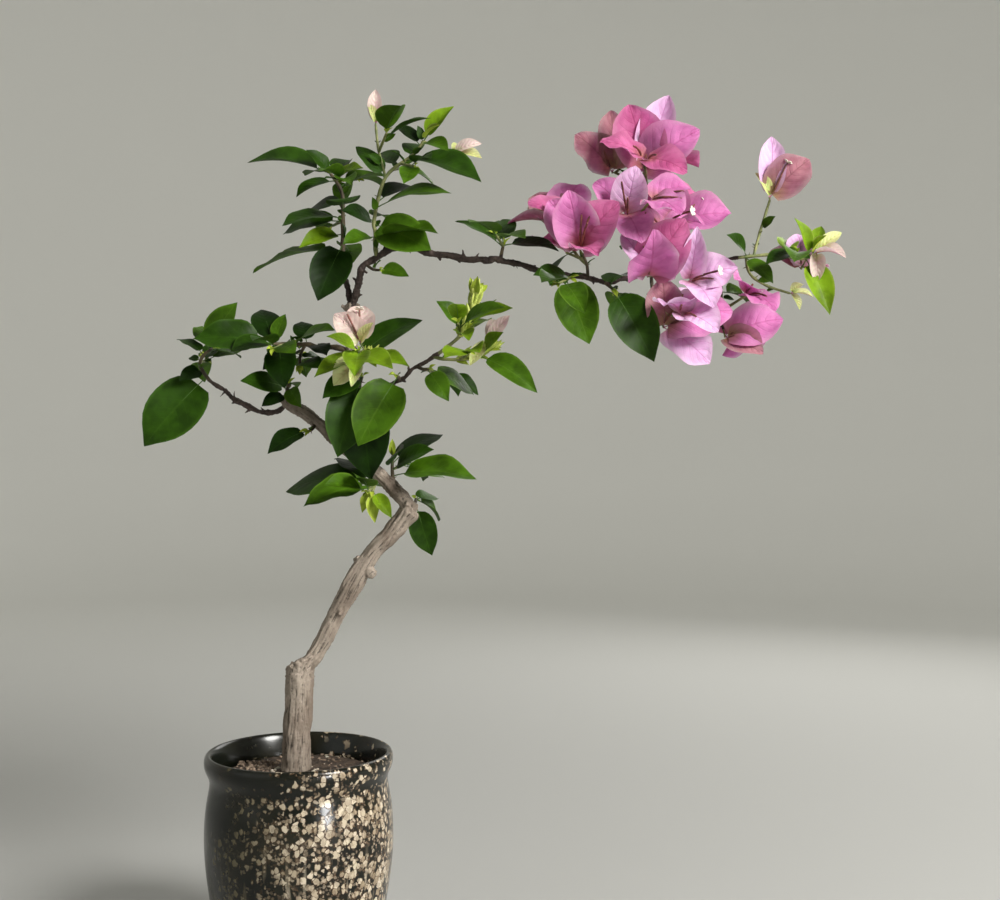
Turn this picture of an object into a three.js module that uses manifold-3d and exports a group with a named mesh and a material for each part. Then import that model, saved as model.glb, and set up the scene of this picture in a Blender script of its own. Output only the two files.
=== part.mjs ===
// A small trained bougainvillea in its glazed pot, as an assembly of separate solids.
// Millimetres, +Z up, +X towards the long flowering bough, -Y towards the front of the plant.
// The origin is the centre of the pot's flat underside.
import * as THREE from 'three';
import Module from 'manifold-3d';

const { Vector3 } = THREE;
const wasm = await Module();
wasm.setup();

// ---------------------------------------------------------------- driving dimensions
const GAP = 0.3; // clearance between neighbouring solids

const POT = {
  height: 140, foot: 47, thigh: 56.6, thighHeight: 42, belly: 61.2, bellyHeight: 94,
  neck: 57.2, neckHeight: 121, lip: 61.2, mouth: 55.5, wall: 7, floor: 8, sides: 24,
};
const SOIL_TOP = 127;
const SOIL_CROWN = 1.5; // rise of the soil towards the trunk

const TRUNK = {
  x: -2.7, foot: SOIL_TOP + GAP, flare: 10.4, flareHeight: 9, radius: 9.3,
  lean: 3.2, cutLow: 194, cutHigh: 205, sides: 12,
};

const LIMB_SIDES = 8;
const TWIG_SIDES = 3;

const BLADE_THICK = 1.1; // at the midrib
const STALK_RADIUS = 0.8;
const PEDICEL_RADIUS = 0.75;

// Blades by kind: width and stalk as shares of the length, bow of the midrib, widest place. Small
// ones have eight faces.
const KINDS = {
  leaf: { wide: 0.50, stalk: 0.16, bow: 0.09, widest: 0.36 },
  dark: { wide: 0.54, stalk: 0.15, bow: 0.10, widest: 0.38 },
  broad: { wide: 0.58, stalk: 0.13, bow: 0.08, widest: 0.40 },
  young: { wide: 0.42, stalk: 0.14, bow: 0.08, widest: 0.36, small: true },
  bract: { wide: 0.76, stalk: 0.06, bow: 0.13, widest: 0.40 },
  bud: { wide: 0.44, stalk: 0.06, bow: 0.12, widest: 0.40, small: true }, // a narrow bract
};

// Seeded growth: side twigs that fill each mass towards the back and the front.
const GROWTH = {
  seed: 4711,
  twig: [12, 24], // length of a side twig
  girth: [1.1, 0.9], // its radius at foot and tip
  start: 0.35, // how far along its shoot the first side twig may stand
  axil: 0.55, // how far along its twig the first leaf stands
  leaf: [24, 40], // length of a leaf on it
  bract: [27, 35], // length of a bract, in a flowering mass
  leaves: 3,
  backward: 0.62, // share of the twigs that grow to the back
  fan: 42, // degrees to either side of straight back or front
  swing: [34, 58], // degrees between a twig and its side leaves
  spread: 1.5, // how much wider a blossom's bracts stand than leaves do
  rise: [-16, 32], // degrees above level
  lift: [-38, 24], // degrees that a leaf stands above the slope it takes from its twig
  slope: 0.4, // share of the twig's rise that its leaves take
  facing: [10, 60], // how the leaves look, as for a lead
  depth: 46, // half of the mass's depth
  margin: 3, // how far growth may pass the mass's own leads
  clear: 4.2, // distance kept from the other masses
  limb: 2.5, // distance kept from the limbs
  inner: 2.6, // distance kept from the mass's other leaves
  stray: 7, // how far growth shows beyond the leads, seen from the front
  tries: 60,
};

// Limbs: the places that each passes through, and its radius at the foot and at the tip.
// A limb starts on the axis of the limb that carries it and is cut clear of that limb.
const LIMBS = {
  lower_stem: {
    route: [[0, 0, 190], [12, -1, 205], [26, -3, 232], [43, -5, 262], [58, -7, 279], [72, -8, 296]],
    foot: 5.6, tip: 6.2, colour: 0x6d5a4a, knots: [[0.52, 1.18], [1, 1.16]],
  },
  upper_stem: {
    route: [[73, -8, 298], [66, -8, 307], [53, -5, 319], [30, -1, 338], [8, 5, 356], [-10, 9, 368]],
    foot: 4.9, tip: 4.3, colour: 0x6b5848, knots: [[0.62, 1.1], [1, 1.1]],
  },
  centre_bough: {
    route: [[30, -1, 337], [37, 1, 355], [37, 2, 378], [34, 3, 401], [33, 4, 431]],
    foot: 3.9, tip: 3.4, colour: 0x64513f, knots: [[1, 1.15]],
  },
  top_bough: {
    route: [[33, 4, 431], [31, 6, 441], [26, 9, 456]],
    foot: 2.5, tip: 1.7, colour: 0x5b4a3a, knots: [],
  },
  arch_rise: {
    route: [[34, 3, 430], [38, 0, 441], [41, -4, 453], [52, -7, 461], [66, -12, 467]],
    foot: 2.5, tip: 2.1, colour: 0x4d3a33, knots: [[1, 1.2]],
  },
  arch_reach: {
    route: [[66, -12, 467], [90, -18, 461], [118, -24, 456], [131, -26, 456], [160, -28, 448],
      [184, -30, 445]],
    foot: 2.2, tip: 1.8, colour: 0x4a3730, knots: [[0.45, 1.2], [1, 1.2]],
  },
  arch_tip: {
    route: [[184, -30, 445], [198, -31, 441], [213, -30, 445], [232, -26, 451], [258, -24, 455],
      [282, -22, 458]],
    foot: 1.7, tip: 1.2, colour: 0x4a3730, knots: [],
  },
  right_bough: {
    route: [[38, 1, 367], [52, -4, 374], [65, -9, 380], [76, -14, 388], [92, -24, 397]],
    foot: 1.8, tip: 1.3, colour: 0x55493a, knots: [],
  },
  left_twig: {
    route: [[-10, 9, 366], [-20, 11, 360], [-40, 15, 366], [-51, 17, 374], [-63, 20, 382]],
    foot: 2.0, tip: 1.4, colour: 0x453830, knots: [],
  },
};

// Masses of leaves. A shoot has its route and its radius at foot and tip. A lead is one of the
// leaves that give the mass its outline: [kind, share along the shoot, tip, facing], where facing
// turns the blade from looking up (0) to looking forward (90). A blossom is [share along the shoot,
// heart, bracts], and a bract is [colour, tip, facing, kind unless a bract]. `twigs` is the number of
// seeded side twigs, which bear leaves, or bracts where `bloom` is set.
const MASSES = {
  low_left: { twigs: 2, shoots: [{
    route: [[52, -4, 318], [50, -10, 314], [49, -14, 309]], foot: 1.5, tip: 1.0,
    leads: [['leaf', 0.6, [7, -30, 300], 40], ['dark', 0.4, [-11, 12, 308], 30],
      ['dark', 0.5, [21, 14, 330], 15],
      ['young', 0.9, [51, -18, 289], 60], ['young', 0.95, [62, -22, 292], 60],
      ['young', 0.8, [42, -10, 295], 50]],
  }] },
  low_right: { twigs: 1, shoots: [{
    route: [[63, -6, 309], [61, -4, 320], [61, -4, 332]], foot: 1.5, tip: 0.9,
    leads: [['leaf', 0.45, [116, -22, 317], 34], ['leaf', 0.6, [89, -22, 336], 45],
      ['dark', 0.75, [93, 16, 346], 16],
      ['dark', 0.7, [70, -28, 337], 50], ['young', 1, [61, -5, 343], 70]],
  }] },
  knuckle_tuft: { twigs: 1, shoots: [{
    route: [[73, -6, 297], [75, 6, 301], [75, 15, 303]], foot: 1.4, tip: 1.0,
    leads: [['dark', 0.8, [88, 36, 303], 40], ['leaf', 0.55, [86, 10, 266], 88],
      ['leaf', 0.9, [89, 38, 287], 40]],
  }] },
  low_leaf: { twigs: 1, shoots: [{
    route: [[10, 5, 354], [9, -1, 350], [7, -5, 348]], foot: 1.4, tip: 1.0,
    leads: [['dark', 0.9, [-18, -16, 333], 35]],
  }] },
  curtain: { twigs: 1, shoots: [{
    route: [[37, 1, 374], [40, -7, 379], [42, -11, 383]], foot: 1.6, tip: 1.0,
    leads: [['dark', 0.95, [28, -26, 331], 86], ['dark', 0.5, [29, 6, 341], 80],
      ['dark', 0.6, [48, -13, 316], 86],
      ['dark', 1, [19, -30, 368], 60]],
  }] },
  curtain_front: { twigs: 0, shoots: [{
    route: [[65, -9, 380], [66, -14, 382], [65, -19, 383]], foot: 1.3, tip: 0.9,
    leads: [['broad', 0.8, [42, -36, 338], 78]],
  }] },
  centre_spray: { twigs: 1, shoots: [{
    route: [[34, 3, 393], [40, -8, 394], [47, -18, 394]], foot: 1.5, tip: 1.0,
    leads: [['young', 0.7, [14, -34, 381], 40], ['young', 0.9, [74, -34, 388], 35],
      ['dark', 0.3, [80, 6, 421], 34]],
    blossoms: [
      [1, [42, -22, 404], ['blush', [26, -26, 422], 66], ['blush', [41, -12, 428], 70],
        ['cream', [51, -30, 416], 70, 'bud']],
      [1, [42, -27, 389], ['cream', [25, -24, 390], 40, 'bud'], ['cream', [26, -30, 376], 60],
        ['cream', [38, -38, 375], 70, 'bud']],
    ],
  }] },
  left_crown: { twigs: 3, shoots: [{
    route: [[33, 3, 400], [23, 4, 403], [12, 5, 403], [5, 6, 405], [-7, 4, 405], [-18, 0, 405]],
      foot: 1.8, tip: 1.1,
    leads: [['leaf', 0.75, [26, -20, 412], 40], ['leaf', 0.95, [-10, 6, 425], 40],
      ['dark', 0.62, [-3, 26, 422], 20],
      ['dark', 0.97, [-30, 26, 430], 40], ['leaf', 1, [-67, -12, 407], 58],
      ['dark', 0.97, [-40, -24, 398], 45],
      ['dark', 0.9, [-6, -22, 375], 84], ['dark', 0.5, [20, -16, 396], 30],
      ['dark', 0.7, [-24, 0, 388], 60]],
  }, {
    route: [[3, 6, 405], [0, 4, 398], [0, 2, 391]], foot: 1.2, tip: 0.9,
    leads: [['dark', 0.5, [-13, 22, 397], 30], ['dark', 0.9, [17, -18, 388], 40]],
  }] },
  knuckle_left: { twigs: 2, shoots: [{
    route: [[-10, 9, 368], [-9, 5, 373], [-7, 0, 379]], foot: 1.6, tip: 1.0,
    leads: [['dark', 0.7, [-36, -14, 380], 50], ['leaf', 0.8, [3, -12, 363], 84],
      ['dark', 0.4, [-24, -4, 364], 60]],
  }] },
  left_end: { twigs: 3, shoots: [{
    route: [[-63, 20, 382], [-67, 18, 388], [-69, 17, 393], [-66, 16, 399], [-60, 14, 403]],
      foot: 1.3, tip: 0.9,
    leads: [['broad', 0.12, [-102, 2, 338], 84], ['leaf', 0.85, [-42, 8, 433], 62],
      ['dark', 0.75, [-86, 24, 410], 14],
      ['dark', 0.3, [-79, 2, 381], 80], ['dark', 0.95, [-45, 36, 398], 40],
      ['leaf', 0.9, [-72, 42, 420], 40]],
  }] },
  right_tuft: { twigs: 2, shoots: [{
    route: [[92, -24, 397], [99, -27, 402], [106, -30, 408], [111, -31, 416], [115, -31, 432]],
      foot: 1.2, tip: 0.8,
    leads: [['leaf', 0.62, [91, -36, 429], 45], ['young', 0.72, [139, -40, 424], 36],
      ['young', 0.5, [112, -60, 402], 50],
      ['young', 0.55, [126, -4, 420], 30], ['young', 1, [112, -34, 444], 60],
      ['young', 1, [117, -40, 444], 60],
      ['young', 1, [123, -26, 440], 60]],
  }] },
  right_blossom: { twigs: 1, shoots: [{
    route: [[88, -22, 395], [97, -27, 393], [112, -31, 393], [123, -33, 398]], foot: 1.1, tip: 0.8,
    leads: [['young', 0.8, [154, -44, 371], 40], ['young', 0.9, [133, -52, 408], 60]],
    blossoms: [
      [1, [124, -33, 403], ['blush', [137, -34, 420], 60, 'bud'], ['pale', [131, -14, 418], 50, 'bud'],
        ['cream', [112, -40, 388], 50, 'bud']],
    ],
  }] },
  right_leaves: { twigs: 1, shoots: [{
    route: [[78, -15, 389], [82, -22, 387], [86, -27, 387]], foot: 1.3, tip: 0.9,
    leads: [['leaf', 0.8, [99, -38, 366], 70], ['dark', 0.9, [114, -10, 371], 40]],
  }] },
  crown_left: { twigs: 3, shoots: [{
    route: [[26, 9, 456], [27, 10, 466], [27, 11, 478], [27, 11, 495], [26, 11, 507],
      [19, 10, 518]], foot: 1.5, tip: 1.0,
    leads: [['broad', 0.30, [13, -8, 432], 86], ['leaf', 0.22, [-35, 24, 454], 18],
      ['young', 0.4, [1, -10, 466], 50],
      ['dark', 0.50, [-15, 24, 480], 34], ['leaf', 0.52, [-8, -22, 478], 30],
      ['dark', 0.64, [-2, 36, 496], 45],
      ['leaf', 1, [-37, 14, 526], 28], ['leaf', 0.98, [4, 2, 532], 50], ['dark', 0.9, [-1, -8, 499], 30],
      ['leaf', 1, [-2, 36, 522], 30], ['young', 0.9, [43, -12, 517], 50],
      ['leaf', 0.84, [54, 28, 520], 30],
      ['leaf', 0.94, [30, 34, 532], 40], ['leaf', 0.3, [30, 44, 464], 40],
      ['dark', 0.6, [34, -30, 492], 50]],
  }] },
  crown_right: { twigs: 3, shoots: [{
    route: [[51, -7, 461], [50, -6, 469], [50, -4, 477], [49, -2, 486], [56, 2, 514], [74, 3, 529],
      [81, 3, 538]],
    foot: 1.4, tip: 0.8,
    leads: [['leaf', 0.26, [31, -24, 466], 40], ['leaf', 0.22, [92, -30, 472], 8],
      ['broad', 0.46, [87, -20, 463], 74],
      ['dark', 0.48, [30, -22, 488], 60], ['leaf', 0.55, [100, -16, 500], 26],
      ['dark', 0.57, [76, 26, 512], 24],
      ['leaf', 0.5, [54, 28, 492], 40], ['dark', 0.66, [36, 6, 535], 34],
      ['dark', 0.8, [76, 26, 541], 50],
      ['young', 1, [101, 0, 560], 60], ['dark', 0.92, [62, 8, 549], 30],
      ['leaf', 0.96, [98, -16, 527], 45],
      ['leaf', 0.78, [119, -16, 507], 30], ['young', 1, [92, -12, 545], 50]],
    blossoms: [
      [0.99, [101, 2, 530], ['dusky', [119, -2, 535], 60, 'bud'], ['blush', [119, 6, 527], 60, 'bud'],
        ['cream', [103, 14, 538], 50, 'bud']],
    ],
  }, {
    route: [[56, 2, 514], [51, 6, 533], [49, 8, 550]], foot: 0.9, tip: 0.8, leads: [],
    blossoms: [[1, [49, 8, 551], ['blush', [49, 8, 573], 70, 'bud'], ['cream', [44, 4, 563], 50, 'bud'],
      ['cream', [59, 8, 562], 50, 'bud']]],
  }] },
  arch_foot_leaf: { twigs: 0, shoots: [{
    route: [[44, -5, 456], [49, -11, 452], [54, -15, 451]], foot: 1.1, tip: 0.8,
    leads: [['leaf', 0.8, [73, -22, 446], 60]],
  }] },
  arch_leaves: { twigs: 1, shoots: [{
    route: [[131, -26, 456], [132, -27, 461], [133, -28, 465]], foot: 1.3, tip: 0.9,
    leads: [['leaf', 0.8, [102, -22, 481], 24], ['dark', 0.95, [168, -34, 460], 30],
      ['leaf', 0.9, [131, 4, 486], 40]],
  }] },
  arch_hanging: { twigs: 1, shoots: [{
    route: [[168, -28, 447], [171, -34, 444], [175, -38, 443]], foot: 1.3, tip: 0.9,
    leads: [['broad', 0.6, [186, -46, 401], 88], ['dark', 1, [151, -50, 443], 44],
      ['dark', 0.3, [161, -56, 436], 60]],
  }] },
  arch_hanging_end: { twigs: 1, shoots: [{
    route: [[197, -31, 441], [199, -37, 438], [201, -40, 436]], foot: 1.3, tip: 0.9,
    leads: [['dark', 0.8, [226, -46, 390], 80], ['dark', 0.6, [206, -70, 440], 40]],
  }] },
  blossom_left: { twigs: 2, bloom: true, shoots: [{
    route: [[186, -31, 445], [185, -38, 451], [182, -44, 457]], foot: 1.1, tip: 0.8,
    leads: [],
    blossoms: [[1, [180, -44, 460], ['pink', [161, -40, 491], 75], ['pink', [172, -58, 494], 78],
      ['rose', [203, -62, 486], 70], ['rose', [190, -68, 452], 50]]],
  }, {
    route: [[185, -38, 451], [178, -26, 461], [172, -14, 475]], foot: 1.0, tip: 0.8,
    leads: [['dark', 0.5, [166, -2, 452], 40]],
    blossoms: [[1, [171, -12, 478], ['dusky', [135, -10, 481], 14], ['dusky', [153, 4, 503], 60],
      ['pink', [181, 6, 510], 60]]],
  }] },
  blossom_crest: { twigs: 2, bloom: true, shoots: [{
    route: [[219, -29, 447], [218, -35, 462], [211, -40, 478]], foot: 1.1, tip: 0.8,
    leads: [],
    blossoms: [[1, [209, -41, 482], ['pale', [214, -52, 510], 70], ['pink', [190, -32, 504], 70],
      ['pink', [216, -66, 460], 65]]],
  }, {
    route: [[218, -35, 462], [229, -26, 472], [238, -18, 478]], foot: 1.0, tip: 0.8,
    leads: [],
    blossoms: [[1, [241, -16, 480], ['pink', [236, -20, 511], 70], ['pink', [278, -22, 486], 68],
      ['rose', [262, 12, 505], 50], ['rose', [215, -4, 497], 62]]],
  }] },
  blossom_top: { twigs: 2, bloom: true, shoots: [{
    route: [[225, -28, 449], [229, -6, 468], [229, -2, 492], [225, -10, 509]], foot: 1.2, tip: 0.8,
    leads: [['dark', 0.35, [212, 24, 470], 40]],
    blossoms: [[1, [223, -13, 514], ['rose', [213, -16, 557], 70], ['pale', [240, -8, 565], 75, 'bud'],
      ['pink', [257, -28, 538], 70], ['rose', [262, 10, 522], 20]]],
  }, {
    route: [[228, -4, 496], [217, 2, 511], [206, 2, 517]], foot: 0.9, tip: 0.8,
    leads: [],
    blossoms: [[1, [204, 1, 517], ['dusky', [179, -6, 540], 65], ['dusky', [204, 10, 560], 55, 'bud'],
      ['dusky', [224, 20, 540], 50]]],
  }] },
  blossom_middle: { twigs: 2, bloom: true, shoots: [{
    route: [[235, -26, 451], [229, -37, 445], [224, -44, 443]], foot: 1.1, tip: 0.8,
    leads: [],
    blossoms: [[1, [222, -46, 443], ['pale', [205, -54, 468], 60], ['rose', [243, -62, 476], 78],
      ['pink', [221, -82, 466], 70]]],
  }] },
  blossom_heart: { twigs: 2, bloom: true, shoots: [{
    route: [[257, -24, 455], [253, -36, 447], [249, -43, 442]], foot: 1.0, tip: 0.8,
    leads: [],
    blossoms: [[1, [248, -45, 440], ['pale', [250, -64, 471], 60, 'bud'], ['pale', [276, -56, 447], 72],
      ['pale', [259, -68, 421], 50]]],
  }] },
  blossom_low: { twigs: 2, bloom: true, shoots: [{
    route: [[226, -28, 449], [227, -32, 432], [230, -36, 418]], foot: 1.1, tip: 0.8,
    leads: [['dark', 0.5, [236, -2, 424], 40]],
    blossoms: [[1, [233, -38, 412], ['dusky', [231, -46, 443], 75], ['pink', [275, -44, 422], 65],
      ['pale', [261, -42, 389], 70]]],
  }] },
  blossom_side: { twigs: 2, bloom: true, shoots: [{
    route: [[271, -23, 457], [273, -12, 432], [274, -14, 413]], foot: 1.1, tip: 0.8,
    leads: [['leaf', 0.4, [294, 8, 432], 40]],
    blossoms: [[1, [275, -16, 408], ['dusky', [297, -28, 396], 75], ['pink', [311, -22, 419], 65],
      ['pink', [287, 10, 426], 50]]],
  }] },
  tip_spray: { twigs: 1, shoots: [{
    route: [[282, -22, 458], [292, -22, 459], [308, -22, 460], [322, -22, 457], [330, -22, 460]],
      foot: 1.1, tip: 0.8,
    leads: [['leaf', 0.16, [272, -38, 470], 60], ['leaf', 0.12, [302, -34, 440], 40],
      ['young', 0.82, [337, -36, 420], 60],
      ['young', 0.9, [316, -30, 482], 50], ['young', 0.95, [338, -10, 480], 40],
      ['young', 0.97, [335, -36, 470], 50],
      ['young', 0.6, [318, 8, 474], 40]],
    blossoms: [
      [0.85, [324, -14, 452], ['pale', [324, -4, 476], 72], ['dusky', [342, 8, 457], 50],
        ['dusky', [306, 4, 464], 50]],
      [1, [332, -22, 461], ['cream', [348, -22, 474], 60, 'bud'], ['cream', [330, -30, 440], 40, 'bud'],
        ['cream', [346, -40, 455], 40, 'bud']],
    ],
  }, {
    route: [[292, -22, 459], [296, -20, 473], [303, -18, 495]], foot: 0.9, tip: 0.8,
    leads: [],
    blossoms: [[1, [303, -18, 497], ['pale', [305, -14, 537], 50, 'bud'], ['dusky', [328, -20, 521], 70],
      ['cream', [293, -22, 512], 50, 'bud']]],
  }, {
    route: [[287, -22, 459], [291, -14, 449], [302, -10, 442], [318, -8, 437]], foot: 0.9, tip: 0.8,
    leads: [],
    blossoms: [[1, [319, -8, 437], ['cream', [329, 2, 444], 40, 'bud'],
      ['cream', [333, -10, 434], 40, 'bud'],
      ['cream', [324, -10, 426], 40, 'bud']]],
  }] },
};

// ---------------------------------------------------------------- places and directions
const vec = (place) => new Vector3(...place);
const mix = (a, b, share) => a + (b - a) * share;
const radians = THREE.MathUtils.degToRad;

// A smooth course through the places of a route; share runs from 0 to 1.
function along(route, share) {
  const spans = route.length - 1;
  const reach = Math.min(Math.max(share, 0), 1) * spans;
  const k = Math.min(Math.floor(reach), spans - 1);
  const f = reach - k;
  const [a, b, c, d] = [Math.max(k - 1, 0), k, k + 1, Math.min(k + 2, spans)].map((i) => route[i]);
  return vec([0, 1, 2].map((i) => 0.5 * (2 * b[i] + (c[i] - a[i]) * f
    + (2 * a[i] - 5 * b[i] + 4 * c[i] - d[i]) * f * f
    + (3 * b[i] - a[i] - 3 * c[i] + d[i]) * f * f * f)));
}

function heading(route, share) {
  const step = 0.02;
  return along(route, share + step).sub(along(route, share - step)).normalize();
}

// The part of `direction` that is square to `axis`, as a unit vector.
function squareTo(axis, direction) {
  return direction.clone().addScaledVector(axis, -direction.dot(axis)).normalize();
}

// The way a blade along `axis` looks: 0 degrees is up, 90 is towards the front.
function blade(axis, facing) {
  const look = new Vector3(0, -Math.sin(radians(facing)), Math.cos(radians(facing)));
  const square = Math.abs(look.dot(axis)) > 0.98 ? new Vector3(1, 0, 0) : look;
  return squareTo(axis, square);
}

// Repeatable random numbers between 0 and 1.
function stream(seed) {
  let state = seed;
  return () => {
    state = (state * 16807) % 2147483647;
    return state / 2147483647;
  };
}

// ---------------------------------------------------------------- solids
// A closed body over rings of points; every ring has as many points, or one for a tip.
function loft(rings) {
  const starts = [];
  let count = 0;
  for (const ring of rings) {
    starts.push(count);
    count += ring.length;
  }
  const faces = [];
  const at = (r, i) => starts[r] + (i % rings[r].length);
  for (let r = 0; r + 1 < rings.length; r += 1) {
    const sides = Math.max(rings[r].length, rings[r + 1].length);
    for (let i = 0; i < sides; i += 1) {
      if (rings[r].length > 1) faces.push(at(r, i), at(r, i + 1), at(r + 1, i));
      if (rings[r + 1].length > 1) faces.push(at(r, i + 1), at(r + 1, i + 1), at(r + 1, i));
    }
  }
  const last = rings.length - 1;
  for (let i = 1; i + 1 < rings[0].length; i += 1) faces.push(at(0, 0), at(0, i + 1), at(0, i));
  for (let i = 1; i + 1 < rings[last].length; i += 1) faces.push(at(last, 0), at(last, i), at(last, i + 1));
  return solidOf(rings.flat().flatMap((point) => point.toArray()), faces);
}

function solidOf(vertices, faces) {
  return new wasm.Manifold(new wasm.Mesh({
    numProp: 3, vertProperties: Float32Array.from(vertices), triVerts: Uint32Array.from(faces),
  }));
}

// A round or three-sided rod along a route; radius(share) gives its thickness, and `past` how far
// it goes on beyond both ends.
function rod(route, radius, sides, steps, past = 0) {
  const chord = vec(route.at(-1)).sub(vec(route[0])).normalize();
  const reference = Math.abs(chord.y) > 0.8 ? new Vector3(0, 0, 1) : new Vector3(0, 1, 0);
  const rings = [];
  for (let k = 0; k <= steps; k += 1) {
    const share = k / steps;
    const ahead = heading(route, share);
    const out = squareTo(ahead, reference);
    const over = ahead.clone().cross(out);
    const beyond = past * ((share === 1) - (share === 0));
    rings.push(Array.from({ length: sides }, (_, i) => {
      const turn = (2 * Math.PI * i) / sides;
      return along(route, share).addScaledVector(ahead, beyond)
        .addScaledVector(out, radius(share) * Math.cos(turn))
        .addScaledVector(over, radius(share) * Math.sin(turn));
    }));
  }
  return loft(rings);
}

const KNOT_WIDTH = 0.07; // share of a limb's length that a knot swells

function limbRadius({ foot, tip, knots }, share) {
  const swell = knots.reduce((most, [at, size]) => {
    const near = Math.exp(-(((share - at) / KNOT_WIDTH) ** 2));
    return Math.max(most, 1 + (size - 1) * near);
  }, 1);
  return mix(foot, tip, share) * swell;
}

const LIMB_STEP = 15; // millimetres of limb to each ring

function limbSolid(limb, grow = 0) {
  const length = vec(limb.route[0]).distanceTo(vec(limb.route.at(-1)));
  const steps = Math.max(3, Math.round(length / LIMB_STEP));
  return rod(limb.route, (share) => limbRadius(limb, share) + grow, LIMB_SIDES, steps, grow);
}

// Half width of a blade, as a share of its widest, from its base (0) to its tip (1).
function outline(share, widest) {
  return Math.sin(Math.PI * share ** (Math.log(0.5) / Math.log(widest))) ** 0.85;
}

const LEAD_STATIONS = [0.3, 0.7]; // places along a lead's blade that have a section of their own
const SMALL_STATION = 0.42; // the one on a small or grown blade, which has eight faces
const ROOT = 2.4; // how far such a blade's point is sunk past its twig

// A leaf or bract: a blade with a diamond section, thickest at the midrib, drawn out of its stalk.
function bladeSolid({ base, tip, facing, kind, grown }) {
  const { wide, stalk, bow, widest } = KINDS[kind];
  const plain = grown || KINDS[kind].small;
  const axis = tip.clone().sub(base);
  const length = axis.length();
  axis.normalize();
  const up = blade(axis, facing);
  const side = up.clone().cross(axis);
  const ring = (share, half, thick) => {
    const centre = base.clone().addScaledVector(axis, share * length)
      .addScaledVector(up, 4 * bow * length * share * (1 - share));
    return [[half, 0], [0, thick], [-half, 0], [0, -thick]].map(([across, deep]) => centre.clone()
      .addScaledVector(side, across).addScaledVector(up, deep));
  };
  const rings = [plain ? [base.clone().addScaledVector(axis, -ROOT)] : ring(0, STALK_RADIUS, STALK_RADIUS)];
  for (const share of plain ? [SMALL_STATION] : LEAD_STATIONS) {
    const half = (wide / 2) * length * outline(share, widest);
    rings.push(ring(mix(stalk, 1, share), half, BLADE_THICK / 2));
  }
  return loft([...rings, [tip]]);
}

// Points spread over a blade, which stand for it when distances are tested.
function bladeSamples({ base, tip, facing, kind }) {
  const { wide, bow, widest } = KINDS[kind];
  const axis = tip.clone().sub(base);
  const length = axis.length();
  axis.normalize();
  const up = blade(axis, facing);
  const side = up.clone().cross(axis);
  const points = [];
  for (const share of [0.25, 0.4, 0.55, 0.7, 0.85, 1]) {
    const half = (wide / 2) * length * outline(Math.min(share, 0.999), widest);
    for (const across of [-1, -0.5, 0, 0.5, 1]) {
      points.push(base.clone().addScaledVector(axis, share * length)
        .addScaledVector(up, 4 * bow * length * share * (1 - share))
        .addScaledVector(side, across * half));
    }
  }
  return points;
}

// ---------------------------------------------------------------- growing a mass
const leadOf = (shoot) => ([kind, share, tip, facing]) => (
  { base: along(shoot.route, share), tip: vec(tip), facing, kind });

const bractsOf = ([, heart, ...bracts]) => bracts.map(([, tip, facing, kind = 'bract']) => (
  { base: vec(heart), tip: vec(tip), facing, kind }));

function leadsOf(mass) {
  return mass.shoots.flatMap((shoot) => [
    ...shoot.leads.map(leadOf(shoot)), ...(shoot.blossoms ?? []).flatMap(bractsOf)]);
}

const shootPoints = ({ route }) => Array.from({ length: 13 }, (_, i) => along(route, i / 12));

// The box that a mass keeps to: its leads' own extent, and the growth's depth.
function spaceOf(mass) {
  const route = mass.shoots.flatMap((shoot) => shoot.route.map(vec));
  const places = [...route, ...leadsOf(mass).map(({ tip }) => tip)];
  const box = new THREE.Box3().setFromPoints(places).expandByScalar(GROWTH.margin);
  const middle = mass.shoots[0].route.at(-1)[1];
  box.min.y = Math.min(box.min.y, middle - GROWTH.depth);
  box.max.y = Math.max(box.max.y, middle + GROWTH.depth);
  return box;
}

const limbPoints = Object.values(LIMBS).flatMap((limb) => Array.from({ length: 41 }, (_, i) => (
  { place: along(limb.route, i / 40), radius: limbRadius(limb, i / 40) })));

const touches = (points, others, reach) => points.some((point) => (
  others.some((other) => point.distanceToSquared(other) < reach * reach)));

const touchesLimb = (points) => points.some((point) => (
  limbPoints.some(({ place, radius }) => point.distanceTo(place) < radius + GROWTH.limb)));

// Whether any of the points shows further than `reach` beyond the outline, seen from the front.
const strays = (points, outline, reach) => points.some((point) => (
  outline.every((other) => Math.hypot(point.x - other.x, point.z - other.z) > reach)));

function direction(turn, rise) {
  return new Vector3(
    Math.sin(radians(turn)) * Math.cos(radians(rise)),
    Math.cos(radians(turn)) * Math.cos(radians(rise)),
    Math.sin(radians(rise)),
  );
}

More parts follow.
